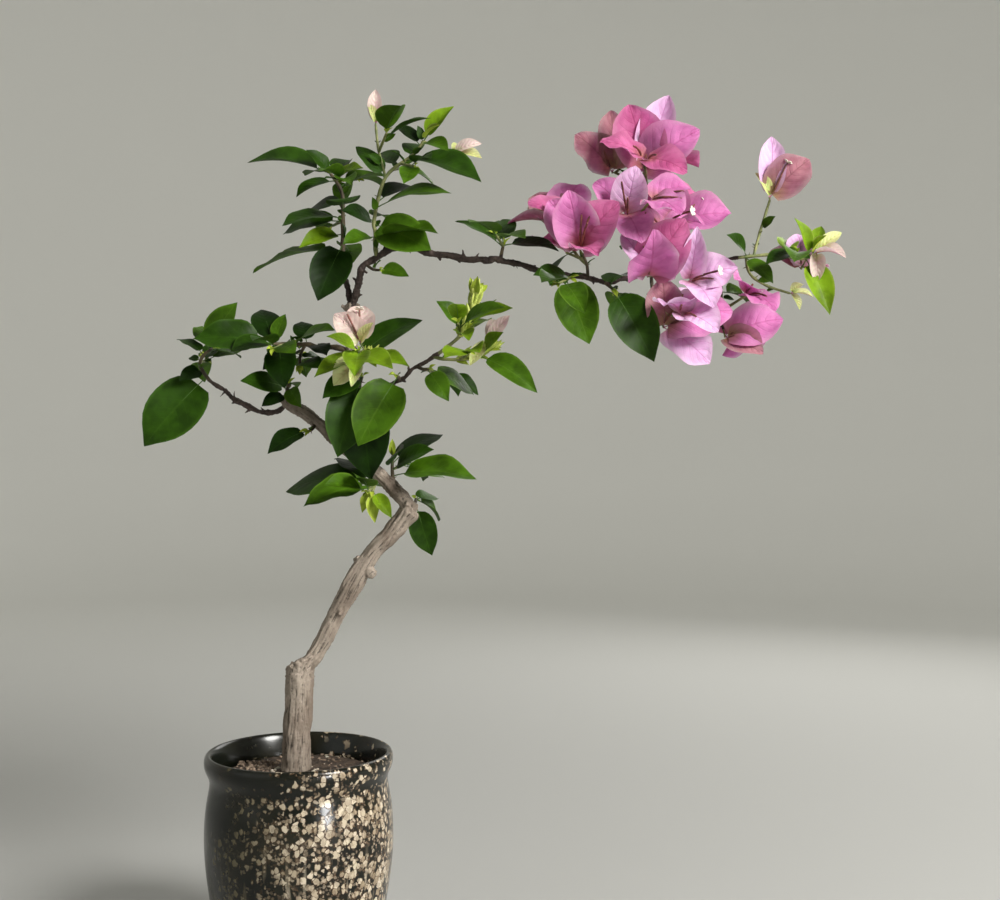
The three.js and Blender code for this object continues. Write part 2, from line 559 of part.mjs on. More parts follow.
// Side twigs with leaves, or with bracts in a flowering mass. What would leave the space, show
// beyond the leads, or come near a limb or another mass, is skipped.
function growTwigs(mass, space, foreign, random) {
  const grown = [];
  const own = leadsOf(mass).flatMap(bladeSamples);
  const outline = [...own, ...mass.shoots.flatMap(shootPoints)];
  const kind = mass.bloom ? 'bract' : 'leaf';
  for (let i = 0; i < mass.twigs; i += 1) {
    const shoot = mass.shoots[i % mass.shoots.length];
    for (let attempt = 0; attempt < GROWTH.tries; attempt += 1) {
      const foot = along(shoot.route, mix(GROWTH.start, 1, random()));
      const turn = (random() < GROWTH.backward ? 0 : 180) + mix(-GROWTH.fan, GROWTH.fan, random());
      const rise = mix(...GROWTH.rise, random());
      const end = foot.clone().addScaledVector(direction(turn, rise), mix(...GROWTH.twig, random()));
      const leaves = [];
      for (let j = 0; j < GROWTH.leaves; j += 1) {
        const base = foot.clone().lerp(end, mass.bloom ? 1 : mix(GROWTH.axil, 1, j / (GROWTH.leaves - 1)));
        const swing = turn + (j - 1) * mix(...GROWTH.swing, random()) * (mass.bloom ? GROWTH.spread : 1);
        const lift = rise * GROWTH.slope + mix(...GROWTH.lift, random());
        const tip = base.clone().addScaledVector(direction(swing, lift), mix(...GROWTH[kind], random()));
        const facing = mix(...GROWTH.facing, random());
        const leaf = { base, tip, facing, kind, grown: true };
        const points = bladeSamples(leaf);
        const fits = points.every((point) => space.containsPoint(point)) && !touchesLimb(points)
          && !strays(points, outline, GROWTH.stray) && !touches(points, own, GROWTH.inner)
          && !touches(points, foreign, GROWTH.clear);
        if (fits) leaves.push({ ...leaf, points });
      }
      if (leaves.length >= 2 && space.containsPoint(end) && !touches([end], foreign, GROWTH.clear)) {
        own.push(...leaves.flatMap(({ points }) => points));
        grown.push({ foot, end, leaves });
        break;
      }
    }
  }
  return grown;
}

function blossomSolids(shoot, [share, heart, ...bracts]) {
  const foot = along(shoot.route, share);
  const centre = vec(heart);
  const solids = bractsOf([share, heart, ...bracts]).map(bladeSolid);
  if (foot.distanceTo(centre) > STALK_RADIUS / 2) {
    solids.push(rod([foot.toArray(), heart], () => PEDICEL_RADIUS, TWIG_SIDES, 1));
  }
  return solids;
}

function massSolid(mass, grown) {
  const solids = [];
  for (const shoot of mass.shoots) {
    const spans = shoot.route.length - 1;
    solids.push(rod(shoot.route, (share) => mix(shoot.foot, shoot.tip, share), TWIG_SIDES, spans));
    solids.push(...shoot.leads.map(leadOf(shoot)).map(bladeSolid));
    for (const blossom of shoot.blossoms ?? []) solids.push(...blossomSolids(shoot, blossom));
  }
  for (const { foot, end, leaves } of grown) {
    solids.push(rod([foot.toArray(), end.toArray()], (share) => mix(...GROWTH.girth, share), TWIG_SIDES, 1));
    solids.push(...leaves.map(bladeSolid));
  }
  return solids.reduce((whole, solid) => whole.add(solid));
}

// ---------------------------------------------------------------- pot, soil and trunk
function turned(profile, sides) {
  const geometry = new THREE.LatheGeometry(profile.map(([r, z]) => new THREE.Vector2(r, z)), sides);
  geometry.rotateX(Math.PI / 2);
  return geometry;
}

function potGeometry() {
  const { height, foot, thigh, thighHeight, belly, bellyHeight } = POT;
  const { neck, neckHeight, lip, mouth, wall, floor, sides } = POT;
  return turned([
    [0, 0], [foot, 0], [thigh, thighHeight], [belly - 0.9, 70], [belly, bellyHeight], [belly - 1.4, 109],
    [neck, neckHeight], [lip - 0.8, 130], [lip, 135], [lip - 2, height],
    [mouth, height - 2], [mouth - 3.5, neckHeight + 4], [belly - wall, bellyHeight],
    [thigh - wall, thighHeight], [foot - wall - 2, floor], [0, floor],
  ], sides);
}

function soilGeometry() {
  const { foot, thigh, thighHeight, belly, bellyHeight, neckHeight, mouth, wall, floor, sides } = POT;
  const inset = wall + GAP;
  return turned([
    [0, floor + GAP], [foot - inset - 2, floor + GAP], [thigh - inset, thighHeight],
    [belly - inset, bellyHeight], [mouth - 3.5 - GAP, neckHeight + 3.6], [40, SOIL_TOP - SOIL_CROWN / 2],
    [TRUNK.flare + 4, SOIL_TOP], [0, SOIL_TOP],
  ], sides);
}

// The old trunk: flared at the soil, a little leaning, and sawn off at a slant.
function trunkSolid(grow = 0) {
  const { x, foot, flare, flareHeight, radius, lean, cutLow, cutHigh, sides } = TRUNK;
  const levels = [0, 0.04, 0.08, 0.14, 0.4, 0.6, 0.8, 1];
  const low = foot - grow;
  return loft(levels.map((level) => {
    const rise = level * (cutLow - foot);
    const thick = radius + (flare - radius) * Math.max(0, 1 - rise / flareHeight) ** 2 + grow;
    return Array.from({ length: sides }, (_, i) => {
      const turn = (2 * Math.PI * i) / sides;
      const across = Math.cos(turn);
      const slant = level === 1 ? (cutHigh - cutLow) * (across + 1) / 2 + grow : 0;
      const z = level === 0 ? low : foot + rise + slant;
      return new Vector3(x + lean * level + thick * across, thick * Math.sin(turn), z);
    });
  }));
}

// ---------------------------------------------------------------- the assembly
const plant = new THREE.Group();

function addMesh(name, geometry, colour, roughness) {
  const material = new THREE.MeshStandardMaterial({ color: colour, roughness, metalness: 0 });
  const mesh = new THREE.Mesh(geometry, material);
  mesh.name = name;
  plant.add(mesh);
}

function geometryOf(solid) {
  const { numProp, vertProperties, triVerts } = solid.getMesh();
  const places = [];
  for (let i = 0; i < vertProperties.length; i += numProp) places.push(...vertProperties.slice(i, i + 3));
  const geometry = new THREE.BufferGeometry();
  geometry.setAttribute('position', new THREE.Float32BufferAttribute(places, 3));
  geometry.setIndex(Array.from(triVerts));
  geometry.computeVertexNormals();
  return geometry;
}

// The largest body of a solid: a scrap that a cut leaves loose is dropped.
function largest(solid) {
  return solid.decompose().reduce((most, piece) => (piece.volume() > most.volume() ? piece : most));
}

addMesh('pot', potGeometry(), 0x15130f, 0.18);
addMesh('soil', soilGeometry(), 0x4a372a, 0.95);

const sleeves = [trunkSolid(GAP)];
addMesh('trunk_stub', geometryOf(trunkSolid()), 0x8c7d6b, 0.85);
for (const [name, limb] of Object.entries(LIMBS)) {
  const clear = sleeves.reduce((left, sleeve) => left.subtract(sleeve), limbSolid(limb));
  addMesh(name, geometryOf(largest(clear)), limb.colour, 0.8);
  sleeves.push(limbSolid(limb, GAP));
}

const samples = Object.fromEntries(Object.entries(MASSES).map(([name, mass]) => (
  [name, [...leadsOf(mass).flatMap(bladeSamples), ...mass.shoots.flatMap(shootPoints)]])));
const random = stream(GROWTH.seed);
for (const [name, mass] of Object.entries(MASSES)) {
  const foreign = Object.entries(samples).flatMap(([other, points]) => (other === name ? [] : points));
  const grown = growTwigs(mass, spaceOf(mass), foreign, random);
  samples[name].push(...grown.flatMap(({ leaves }) => leaves.flatMap(({ points }) => points)));
  const clear = sleeves.reduce((left, sleeve) => left.subtract(sleeve), massSolid(mass, grown));
  const flowering = mass.shoots.some((shoot) => (shoot.blossoms ?? []).length > 0);
  addMesh(name, geometryOf(largest(clear)), flowering ? 0xb0578a : 0x3f5a2c, 0.6);
}

export default plant;
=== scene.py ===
import math

import bpy
import numpy as np
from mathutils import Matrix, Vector, kdtree, noise


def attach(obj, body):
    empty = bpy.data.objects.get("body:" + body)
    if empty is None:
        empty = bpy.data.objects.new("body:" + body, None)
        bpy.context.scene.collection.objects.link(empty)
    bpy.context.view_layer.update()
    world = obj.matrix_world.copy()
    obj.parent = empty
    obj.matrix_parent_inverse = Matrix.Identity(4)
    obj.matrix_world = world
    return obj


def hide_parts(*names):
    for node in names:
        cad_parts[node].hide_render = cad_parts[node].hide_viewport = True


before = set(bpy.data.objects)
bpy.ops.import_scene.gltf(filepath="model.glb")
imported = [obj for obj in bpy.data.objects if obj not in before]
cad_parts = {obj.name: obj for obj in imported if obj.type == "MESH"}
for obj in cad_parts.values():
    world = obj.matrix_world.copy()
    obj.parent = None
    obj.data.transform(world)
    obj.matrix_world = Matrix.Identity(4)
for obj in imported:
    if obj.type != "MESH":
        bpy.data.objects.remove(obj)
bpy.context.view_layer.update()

# A small trained bougainvillea in its glazed pot. Places and sizes are in millimetres, +Z up,
# +X towards the long flowering bough, -Y towards the front, and become metres in each mesh.
MM = 0.001

# Blades by kind: width and stalk as shares of the length, bow of the midrib, widest place.
KINDS = dict(
    leaf=dict(wide=0.50, stalk=0.16, bow=0.09, widest=0.36),
    # The dark kind is given to leaves that lie in shade, and often takes the painted-shade tint.
    dark=dict(wide=0.54, stalk=0.15, bow=0.10, widest=0.38),
    broad=dict(wide=0.58, stalk=0.13, bow=0.08, widest=0.40),
    young=dict(wide=0.42, stalk=0.14, bow=0.08, widest=0.36),
    bract=dict(wide=0.76, stalk=0.06, bow=0.13, widest=0.40),
    bud=dict(wide=0.44, stalk=0.06, bow=0.12, widest=0.40),
)

# Seeded growth of side twigs: ranges of length in millimetres and of angles in degrees, the
# distances kept from the other masses, the limbs, the mass's own leaves and its outline, the
# fewest leaves that make a twig worth its place, and how often a place is tried.
GROWTH = dict(
    seed=4711, twig=(12, 24), start=0.35, axil=0.55, leaf=(24, 40), bract=(27, 35), leaves=3,
    backward=0.62, fan=42, swing=(34, 58), spread=1.5, rise=(-16, 32), lift=(-38, 24), slope=0.4,
    facing=(10, 60), depth=46, margin=3, clear=4.2, limb=2.5, inner=2.6, stray=7, fewest=2,
    tries=60,
)

LIMBS = dict(
    lower_stem=dict(
        route=((0, 0, 190), (12, -1, 205), (26, -3, 232), (43, -5, 262), (58, -7, 279),
               (72, -8, 296)),
        foot=5.6, tip=6.2, knots=((0.52, 1.18), (1, 1.16)),
    ),
    upper_stem=dict(
        route=((73, -8, 298), (66, -8, 307), (53, -5, 319), (30, -1, 338), (8, 5, 356),
               (-10, 9, 368)),
        foot=4.9, tip=4.3, knots=((0.62, 1.1), (1, 1.1)),
    ),
    centre_bough=dict(
        route=((30, -1, 337), (37, 1, 355), (37, 2, 378), (34, 3, 401), (33, 4, 431)),
        foot=3.9, tip=3.4, knots=((1, 1.15),),
    ),
    top_bough=dict(
        route=((33, 4, 431), (31, 6, 441), (26, 9, 456)),
        foot=2.5, tip=1.7, knots=(),
    ),
    arch_rise=dict(
        route=((34, 3, 430), (38, 0, 441), (41, -4, 453), (52, -7, 461), (66, -12, 467)),
        foot=2.5, tip=2.1, knots=((1, 1.2),),
    ),
    arch_reach=dict(
        route=((66, -12, 467), (90, -18, 461), (118, -24, 456), (131, -26, 456), (160, -28, 448),
               (184, -30, 445)),
        foot=2.2, tip=1.8, knots=((0.45, 1.2), (1, 1.2)),
    ),
    arch_tip=dict(
        route=((184, -30, 445), (198, -31, 441), (213, -30, 445), (232, -26, 451), (258, -24, 455),
               (282, -22, 458)),
        foot=1.7, tip=1.2, knots=(),
    ),
    right_bough=dict(
        route=((38, 1, 367), (52, -4, 374), (65, -9, 380), (76, -14, 388), (92, -24, 397)),
        foot=1.8, tip=1.3, knots=(),
    ),
    left_twig=dict(
        route=((-10, 9, 366), (-20, 11, 360), (-40, 15, 366), (-51, 17, 374), (-63, 20, 382)),
        foot=2.0, tip=1.4, knots=(),
    ),
)

# Foliage and blossom. A lead is a blade's kind, its place along the shoot, its tip, its facing
# and perhaps its tint. A blossom is its place along the shoot, its heart and its bracts, each
# with tint, tip, facing and perhaps kind.
MASSES = dict(
    low_left=dict(twigs=2, shoots=(dict(
        route=((52, -4, 318), (50, -10, 314), (49, -14, 309)), foot=1.5, tip=1.0,
        leads=(("leaf", 0.6, (7, -30, 300), 40, "mid"), ("dark", 0.4, (-11, 12, 308), 30),
               ("dark", 0.5, (21, 14, 330), 15), ("young", 0.9, (51, -18, 289), 60),
               ("young", 0.95, (62, -22, 292), 60), ("young", 0.8, (42, -10, 295), 50)),
    ),)),
    low_right=dict(twigs=1, shoots=(dict(
        route=((63, -6, 309), (61, -4, 320), (61, -4, 332)), foot=1.5, tip=0.9,
        leads=(("leaf", 0.45, (116, -22, 317), 34, "mid"),
               ("leaf", 0.6, (89, -22, 336), 45, "deep"), ("dark", 0.75, (93, 16, 346), 16),
               ("dark", 0.7, (70, -28, 337), 50), ("young", 1, (61, -5, 343), 70)),
    ),)),
    knuckle_tuft=dict(twigs=1, shoots=(dict(
        route=((73, -6, 297), (75, 6, 301), (75, 15, 303)), foot=1.4, tip=1.0,
        leads=(("dark", 0.8, (88, 36, 303), 40), ("leaf", 0.55, (86, 10, 266), 88),
               ("leaf", 0.9, (89, 38, 287), 40)),
    ),)),
    low_leaf=dict(twigs=1, shoots=(dict(
        route=((10, 5, 354), (9, -1, 350), (7, -5, 348)), foot=1.4, tip=1.0,
        leads=(("dark", 0.9, (-18, -16, 333), 35),),
    ),)),
    curtain=dict(twigs=1, shoots=(dict(
        route=((37, 1, 374), (40, -7, 379), (42, -11, 383)), foot=1.6, tip=1.0,
        leads=(("dark", 0.95, (28, -26, 331), 86), ("dark", 0.5, (29, 6, 341), 80),
               ("dark", 0.6, (48, -13, 316), 86), ("dark", 1, (19, -30, 368), 60)),
    ),)),
    curtain_front=dict(twigs=0, shoots=(dict(
        route=((65, -9, 380), (66, -14, 382), (65, -19, 383)), foot=1.3, tip=0.9,
        leads=(("broad", 0.8, (42, -36, 338), 78, "mid"),),
    ),)),
    centre_spray=dict(twigs=1, fresh=True, shoots=(dict(
        route=((34, 3, 393), (40, -8, 394), (47, -18, 394)), foot=1.5, tip=1.0,
        leads=(("young", 0.7, (14, -34, 381), 40), ("young", 0.9, (74, -34, 388), 35),
               ("dark", 0.3, (80, 6, 421), 34, "deep")),
        blossoms=(
            (1, (42, -22, 404), ("blush", (26, -26, 422), 66), ("blush", (41, -12, 428), 70),
             ("cream", (51, -30, 416), 70, "bud")),
            (1, (42, -27, 389), ("cream", (25, -24, 390), 40, "bud"),
             ("cream", (26, -30, 376), 60), ("cream", (38, -38, 375), 70, "bud")),
        ),
    ),)),
    left_crown=dict(twigs=3, shoots=(dict(
        route=((33, 3, 400), (23, 4, 403), (12, 5, 403), (5, 6, 405), (-7, 4, 405), (-18, 0, 405)),
        foot=1.8, tip=1.1,
        leads=(("leaf", 0.75, (26, -20, 412), 40, "mid"), ("leaf", 0.95, (-10, 6, 425), 40, "mid"),
               ("dark", 0.62, (-3, 26, 422), 20), ("dark", 0.97, (-30, 26, 430), 40),
               ("leaf", 1, (-67, -12, 407), 58), ("dark", 0.97, (-40, -24, 398), 45),
               ("dark", 0.9, (-6, -22, 375), 84), ("dark", 0.5, (20, -16, 396), 30),
               ("dark", 0.7, (-24, 0, 388), 60)),
    ), dict(
        route=((3, 6, 405), (0, 4, 398), (0, 2, 391)), foot=1.2, tip=0.9,
        leads=(("dark", 0.5, (-13, 22, 397), 30), ("dark", 0.9, (17, -18, 388), 40)),
    ),)),
    knuckle_left=dict(twigs=2, shoots=(dict(
        route=((-10, 9, 368), (-9, 5, 373), (-7, 0, 379)), foot=1.6, tip=1.0,
        leads=(("dark", 0.7, (-36, -14, 380), 50), ("leaf", 0.8, (3, -12, 363), 84),
               ("dark", 0.4, (-24, -4, 364), 60)),
    ),)),
    left_end=dict(twigs=3, shoots=(dict(
        route=((-63, 20, 382), (-67, 18, 388), (-69, 17, 393), (-66, 16, 399), (-60, 14, 403)),
        foot=1.3, tip=0.9,
        leads=(("broad", 0.12, (-102, 2, 338), 84, "deep"), ("leaf", 0.85, (-42, 8, 433), 62),
               ("dark", 0.75, (-86, 24, 410), 14), ("dark", 0.3, (-79, 2, 381), 80),
               ("dark", 0.95, (-45, 36, 398), 40), ("leaf", 0.9, (-72, 42, 420), 40)),
    ),)),
    right_tuft=dict(twigs=2, fresh=True, shoots=(dict(
        route=((92, -24, 397), (99, -27, 402), (106, -30, 408), (111, -31, 416), (115, -31, 432)),
        foot=1.2, tip=0.8,
        leads=(("leaf", 0.62, (91, -36, 429), 45, "mid"), ("young", 0.72, (139, -40, 424), 36),
               ("young", 0.5, (112, -60, 402), 50), ("young", 0.55, (126, -4, 420), 30),
               ("young", 1, (112, -34, 444), 60), ("young", 1, (117, -40, 444), 60),
               ("young", 1, (123, -26, 440), 60)),
    ),)),
    right_blossom=dict(twigs=1, fresh=True, shoots=(dict(
        route=((88, -22, 395), (97, -27, 393), (112, -31, 393), (123, -33, 398)),
        foot=1.1, tip=0.8,
        leads=(("young", 0.8, (154, -44, 371), 40, "mid"), ("young", 0.9, (133, -52, 408), 60)),
        blossoms=(
            (1, (124, -33, 403), ("blush", (137, -34, 420), 60, "bud"),
             ("blush", (131, -14, 418), 50, "bud"), ("cream", (112, -40, 388), 50, "bud")),
        ),
    ),)),
    right_leaves=dict(twigs=1, shoots=(dict(
        route=((78, -15, 389), (82, -22, 387), (86, -27, 387)), foot=1.3, tip=0.9,
        leads=(("leaf", 0.8, (99, -38, 366), 70, "mid"),
               ("dark", 0.9, (114, -10, 371), 40, "mid")),
    ),)),
    crown_left=dict(twigs=3, shoots=(dict(
        route=((26, 9, 456), (27, 10, 466), (27, 11, 478), (27, 11, 495), (26, 11, 507),
               (19, 10, 518)), foot=1.5, tip=1.0,
        leads=(("broad", 0.3, (13, -8, 432), 86, "dark"), ("leaf", 0.22, (-35, 24, 454), 18),
               ("young", 0.4, (1, -10, 466), 50), ("dark", 0.5, (-15, 24, 480), 34),
               ("leaf", 0.52, (-8, -22, 478), 30), ("dark", 0.64, (-2, 36, 496), 45),
               ("leaf", 1, (-37, 14, 526), 28), ("leaf", 0.98, (4, 2, 532), 50),
               ("dark", 0.9, (-1, -8, 499), 30), ("leaf", 1, (-2, 36, 522), 30),
               ("young", 0.9, (43, -12, 517), 50), ("leaf", 0.84, (54, 28, 520), 30),
               ("leaf", 0.94, (30, 34, 532), 40), ("leaf", 0.3, (30, 44, 464), 40),
               ("dark", 0.6, (34, -30, 492), 50)),
    ),)),
    crown_right=dict(twigs=3, shoots=(dict(
        route=((51, -7, 461), (50, -6, 469), (50, -4, 477), (49, -2, 486), (56, 2, 514),
               (74, 3, 529), (81, 3, 538)), foot=1.4, tip=0.8,
        leads=(("leaf", 0.26, (31, -24, 466), 40), ("leaf", 0.22, (92, -30, 472), 8),
               ("broad", 0.46, (87, -20, 463), 74), ("dark", 0.48, (30, -22, 488), 60),
               ("leaf", 0.55, (100, -16, 500), 26), ("dark", 0.57, (76, 26, 512), 24),
               ("leaf", 0.5, (54, 28, 492), 40), ("dark", 0.66, (36, 6, 535), 34),
               ("dark", 0.8, (76, 26, 541), 50), ("young", 1, (101, 0, 560), 60),
               ("dark", 0.92, (62, 8, 549), 30), ("leaf", 0.96, (98, -16, 527), 45),
               ("leaf", 0.78, (119, -16, 507), 30), ("young", 1, (92, -12, 545), 50)),
        blossoms=(
            (0.99, (101, 2, 530), ("blush", (119, -2, 535), 60, "bud"),
             ("cream", (119, 6, 527), 60, "bud"), ("cream", (103, 14, 538), 50, "bud")),
        ),
    ), dict(
        route=((56, 2, 514), (51, 6, 533), (49, 8, 550)), foot=0.9, tip=0.8,
        blossoms=(
            (1, (49, 8, 551), ("blush", (49, 8, 573), 70, "bud"),
             ("cream", (44, 4, 563), 50, "bud"), ("cream", (59, 8, 562), 50, "bud")),
        ),
    ),)),
    arch_foot_leaf=dict(twigs=0, shoots=(dict(
        route=((44, -5, 456), (49, -11, 452), (54, -15, 451)), foot=1.1, tip=0.8,
        leads=(("leaf", 0.8, (73, -22, 446), 60),),
    ),)),
    arch_leaves=dict(twigs=1, shoots=(dict(
        route=((131, -26, 456), (132, -27, 461), (133, -28, 465)), foot=1.3, tip=0.9,
        leads=(("leaf", 0.8, (102, -22, 481), 24), ("dark", 0.95, (168, -34, 460), 30),
               ("leaf", 0.9, (131, 4, 486), 40)),
    ),)),
    arch_hanging=dict(twigs=1, shoots=(dict(
        route=((168, -28, 447), (171, -34, 444), (175, -38, 443)), foot=1.3, tip=0.9,
        leads=(("broad", 0.6, (186, -46, 401), 88, "mid"), ("dark", 1, (151, -50, 443), 44),
               ("dark", 0.3, (161, -56, 436), 60)),
    ),)),
    arch_hanging_end=dict(twigs=1, shoots=(dict(
        route=((197, -31, 441), (199, -37, 438), (201, -40, 436)), foot=1.3, tip=0.9,
        leads=(("dark", 0.8, (226, -46, 390), 80, "deep"), ("dark", 0.6, (206, -70, 440), 40)),
    ),)),
    blossom_left=dict(twigs=2, bloom=True, shoots=(dict(
        route=((186, -31, 445), (185, -38, 451), (182, -44, 457)), foot=1.1, tip=0.8,
        blossoms=(
            (1, (180, -44, 460), ("pink", (161, -40, 491), 75), ("pink", (172, -58, 494), 78),
             ("rose", (203, -62, 486), 70), ("rose", (190, -68, 452), 50)),
        ),
    ), dict(
        route=((185, -38, 451), (178, -26, 461), (172, -14, 475)), foot=1.0, tip=0.8,
        leads=(("dark", 0.5, (166, -2, 452), 40),),
        blossoms=(
            (1, (171, -12, 478), ("dusky", (135, -10, 481), 14), ("dusky", (153, 4, 503), 60),
             ("pink", (181, 6, 510), 60)),
        ),
    ),)),
    blossom_crest=dict(twigs=2, bloom=True, shoots=(dict(
        route=((219, -29, 447), (218, -35, 462), (211, -40, 478)), foot=1.1, tip=0.8,
        blossoms=(
            (1, (209, -41, 482), ("pale", (214, -52, 510), 70), ("pink", (190, -32, 504), 70),
             ("pink", (216, -66, 460), 65)),
        ),
    ), dict(
        route=((218, -35, 462), (229, -26, 472), (238, -18, 478)), foot=1.0, tip=0.8,
        blossoms=(
            (1, (241, -16, 480), ("pink", (236, -20, 511), 70), ("pink", (278, -22, 486), 68),
             ("rose", (262, 12, 505), 50), ("rose", (215, -4, 497), 62)),
        ),
    ),)),
    blossom_top=dict(twigs=2, bloom=True, shoots=(dict(
        route=((225, -28, 449), (229, -6, 468), (229, -2, 492), (225, -10, 509)),
        foot=1.2, tip=0.8,
        leads=(("dark", 0.35, (212, 24, 470), 40),),
        blossoms=(
            (1, (223, -13, 514), ("rose", (213, -16, 557), 70),
             ("pale", (240, -8, 565), 75, "bud"), ("pink", (257, -28, 538), 70),
             ("rose", (262, 10, 522), 20)),
        ),
    ), dict(
        route=((228, -4, 496), (217, 2, 511), (206, 2, 517)), foot=0.9, tip=0.8,
        blossoms=(
            (1, (204, 1, 517), ("dusky", (179, -6, 540), 65), ("dusky", (204, 10, 560), 55, "bud"),
             ("dusky", (224, 20, 540), 50)),
        ),
    ),)),
    blossom_middle=dict(twigs=2, bloom=True, shoots=(dict(
        route=((235, -26, 451), (229, -37, 445), (224, -44, 443)), foot=1.1, tip=0.8,
        blossoms=(
            (1, (222, -46, 443), ("pale", (205, -54, 468), 60), ("rose", (243, -62, 476), 78),
             ("pink", (221, -82, 466), 70)),
        ),
    ),)),
    blossom_heart=dict(twigs=2, bloom=True, shoots=(dict(
        route=((257, -24, 455), (253, -36, 447), (249, -43, 442)), foot=1.0, tip=0.8,
        blossoms=(
            (1, (248, -45, 440), ("pale", (250, -64, 471), 60, "bud"),
             ("pale", (276, -56, 447), 72), ("pale", (259, -68, 421), 50)),
        ),
    ),)),
    blossom_low=dict(twigs=2, bloom=True, shoots=(dict(
        route=((226, -28, 449), (227, -32, 432), (230, -36, 418)), foot=1.1, tip=0.8,
        leads=(("dark", 0.5, (236, -2, 424), 40),),
        blossoms=(
            (1, (233, -38, 412), ("dusky", (231, -46, 443), 75), ("pink", (275, -44, 422), 65),
             ("pale", (261, -42, 389), 70)),
        ),
    ),)),
    blossom_side=dict(twigs=2, bloom=True, shoots=(dict(
        route=((271, -23, 457), (273, -12, 432), (274, -14, 413)), foot=1.1, tip=0.8,
        leads=(("leaf", 0.4, (294, 8, 432), 40),),
        blossoms=(
            (1, (275, -16, 408), ("dusky", (297, -28, 396), 75), ("pink", (311, -22, 419), 65),
             ("pink", (287, 10, 426), 50)),
        ),
    ),)),
    tip_spray=dict(twigs=1, shoots=(dict(
        route=((282, -22, 458), (292, -22, 459), (308, -22, 460), (322, -22, 457),
               (330, -22, 460)), foot=1.1, tip=0.8,
        leads=(("leaf", 0.16, (272, -38, 470), 60), ("leaf", 0.12, (302, -34, 440), 40),
               ("young", 0.82, (337, -36, 420), 60), ("young", 0.9, (316, -30, 482), 50),
               ("young", 0.95, (338, -10, 480), 40), ("young", 0.97, (335, -36, 470), 50),
               ("young", 0.6, (318, 8, 474), 40)),
        blossoms=(
            (0.85, (324, -14, 452), ("pale", (324, -4, 476), 72), ("dusky", (342, 8, 457), 50),
             ("dusky", (306, 4, 464), 50)),
            (1, (332, -22, 461), ("cream", (348, -22, 474), 60, "bud"),
             ("blush", (330, -30, 440), 40, "bud"), ("blush", (346, -40, 455), 40, "bud")),
        ),
    ), dict(
        route=((292, -22, 459), (296, -20, 473), (303, -18, 495)), foot=0.9, tip=0.8,
        blossoms=(
            (1, (303, -18, 497), ("pale", (305, -14, 537), 50, "bud"),
             ("dusky", (328, -20, 521), 70), ("cream", (293, -22, 512), 50, "bud")),
        ),
    ), dict(
        route=((287, -22, 459), (291, -14, 449), (302, -10, 442), (318, -8, 437)),
        foot=0.9, tip=0.8,
        blossoms=(
            (1, (319, -8, 437), ("cream", (329, 2, 444), 40, "bud"),
             ("cream", (333, -10, 434), 40, "bud"), ("cream", (324, -10, 426), 40, "bud")),
        ),
    ),)),
)

# The part of the plant's wood that is old and thick; the other limbs have young dark bark.
OLD_WOOD = ("lower_stem", "upper_stem", "centre_bough")
YOUNG_WOOD = tuple(name for name in LIMBS if name not in OLD_WOOD)
TRUNK = dict(
    x=-2.7, foot=127.3, flare=10.4, flare_height=9, radius=9.3, lean=3.2, cut_low=194, cut_high=205,
)
SOIL_TOP = 127


# ---------------------------------------------------------------- places and directions
def mix(a, b, share):
    return a + (b - a) * share


def unit(vector):
    return vector / np.linalg.norm(vector)


def along(route, share):
    """A smooth course through the places of a route; share runs from 0 to 1."""
    places = np.asarray(route, float)
    spans = len(places) - 1
    reach = np.clip(np.asarray(share, float), 0, 1) * spans
    k = np.minimum(np.floor(reach).astype(int), spans - 1)
    f = (reach - k)[..., None]
    a, b, c, d = (places[np.clip(k + shift, 0, spans)] for shift in (-1, 0, 1, 2))
    return 0.5 * (2 * b + (c - a) * f + (2 * a - 5 * b + 4 * c - d) * f**2
                  + (3 * b - a - 3 * c + d) * f**3)


def heading(route, share):
    step = 0.02
    return unit(along(route, share + step) - along(route, share - step))


def square_to(axis, direction):
    """The part of direction that is square to axis, as a unit vector."""
    return unit(direction - axis * np.dot(direction, axis))


def blade_up(axis, facing):
    """The way a blade along axis looks: 0 degrees is up, 90 is towards the front."""
    look = np.array([0, -math.sin(math.radians(facing)), math.cos(math.radians(facing))])
    nearly_along = abs(np.dot(look, axis)) > 0.98
    return square_to(axis, np.array([1.0, 0, 0]) if nearly_along else look)


def direction(turn, rise):
    """The way that turn leads, in degrees from the back towards the right, raised by rise."""
    turn, rise = math.radians(turn), math.radians(rise)
    level = math.cos(rise)
    return np.array([math.sin(turn) * level, math.cos(turn) * level, math.sin(rise)])


def stream(seed):
    """Repeatable random numbers between 0 and 1."""
    state = seed

    def draw():
        nonlocal state
        state = state * 16807 % 2147483647
        return state / 2147483647

    return draw


def limb_radius(limb, share):
    knot_width = 0.07
    share = np.asarray(share, float)
    swell = np.ones_like(share)
    for place, size in limb["knots"]:
        swell = np.maximum(swell, 1 + (size - 1) * np.exp(-((share - place) / knot_width) ** 2))
    return mix(limb["foot"], limb["tip"], share) * swell


# ---------------------------------------------------------------- blades and the rule of growth
def new_blade(base, tip, facing, kind, tint=None):
    return dict(base=np.array(base, float), tip=np.array(tip, float), facing=facing, kind=kind,
                tint=tint or kind)


def lie(blade):
    """Length, axis, upward way and sideways way of a blade."""
    reach = blade["tip"] - blade["base"]
    length = np.linalg.norm(reach)
    axis = reach / length
    up = blade_up(axis, blade["facing"])
    return length, axis, up, np.cross(up, axis)


def outline(share, widest):
    """Half width of a solid's blade, as a share of its widest."""
    return np.sin(np.pi * share ** (math.log(0.5) / math.log(widest))) ** 0.85


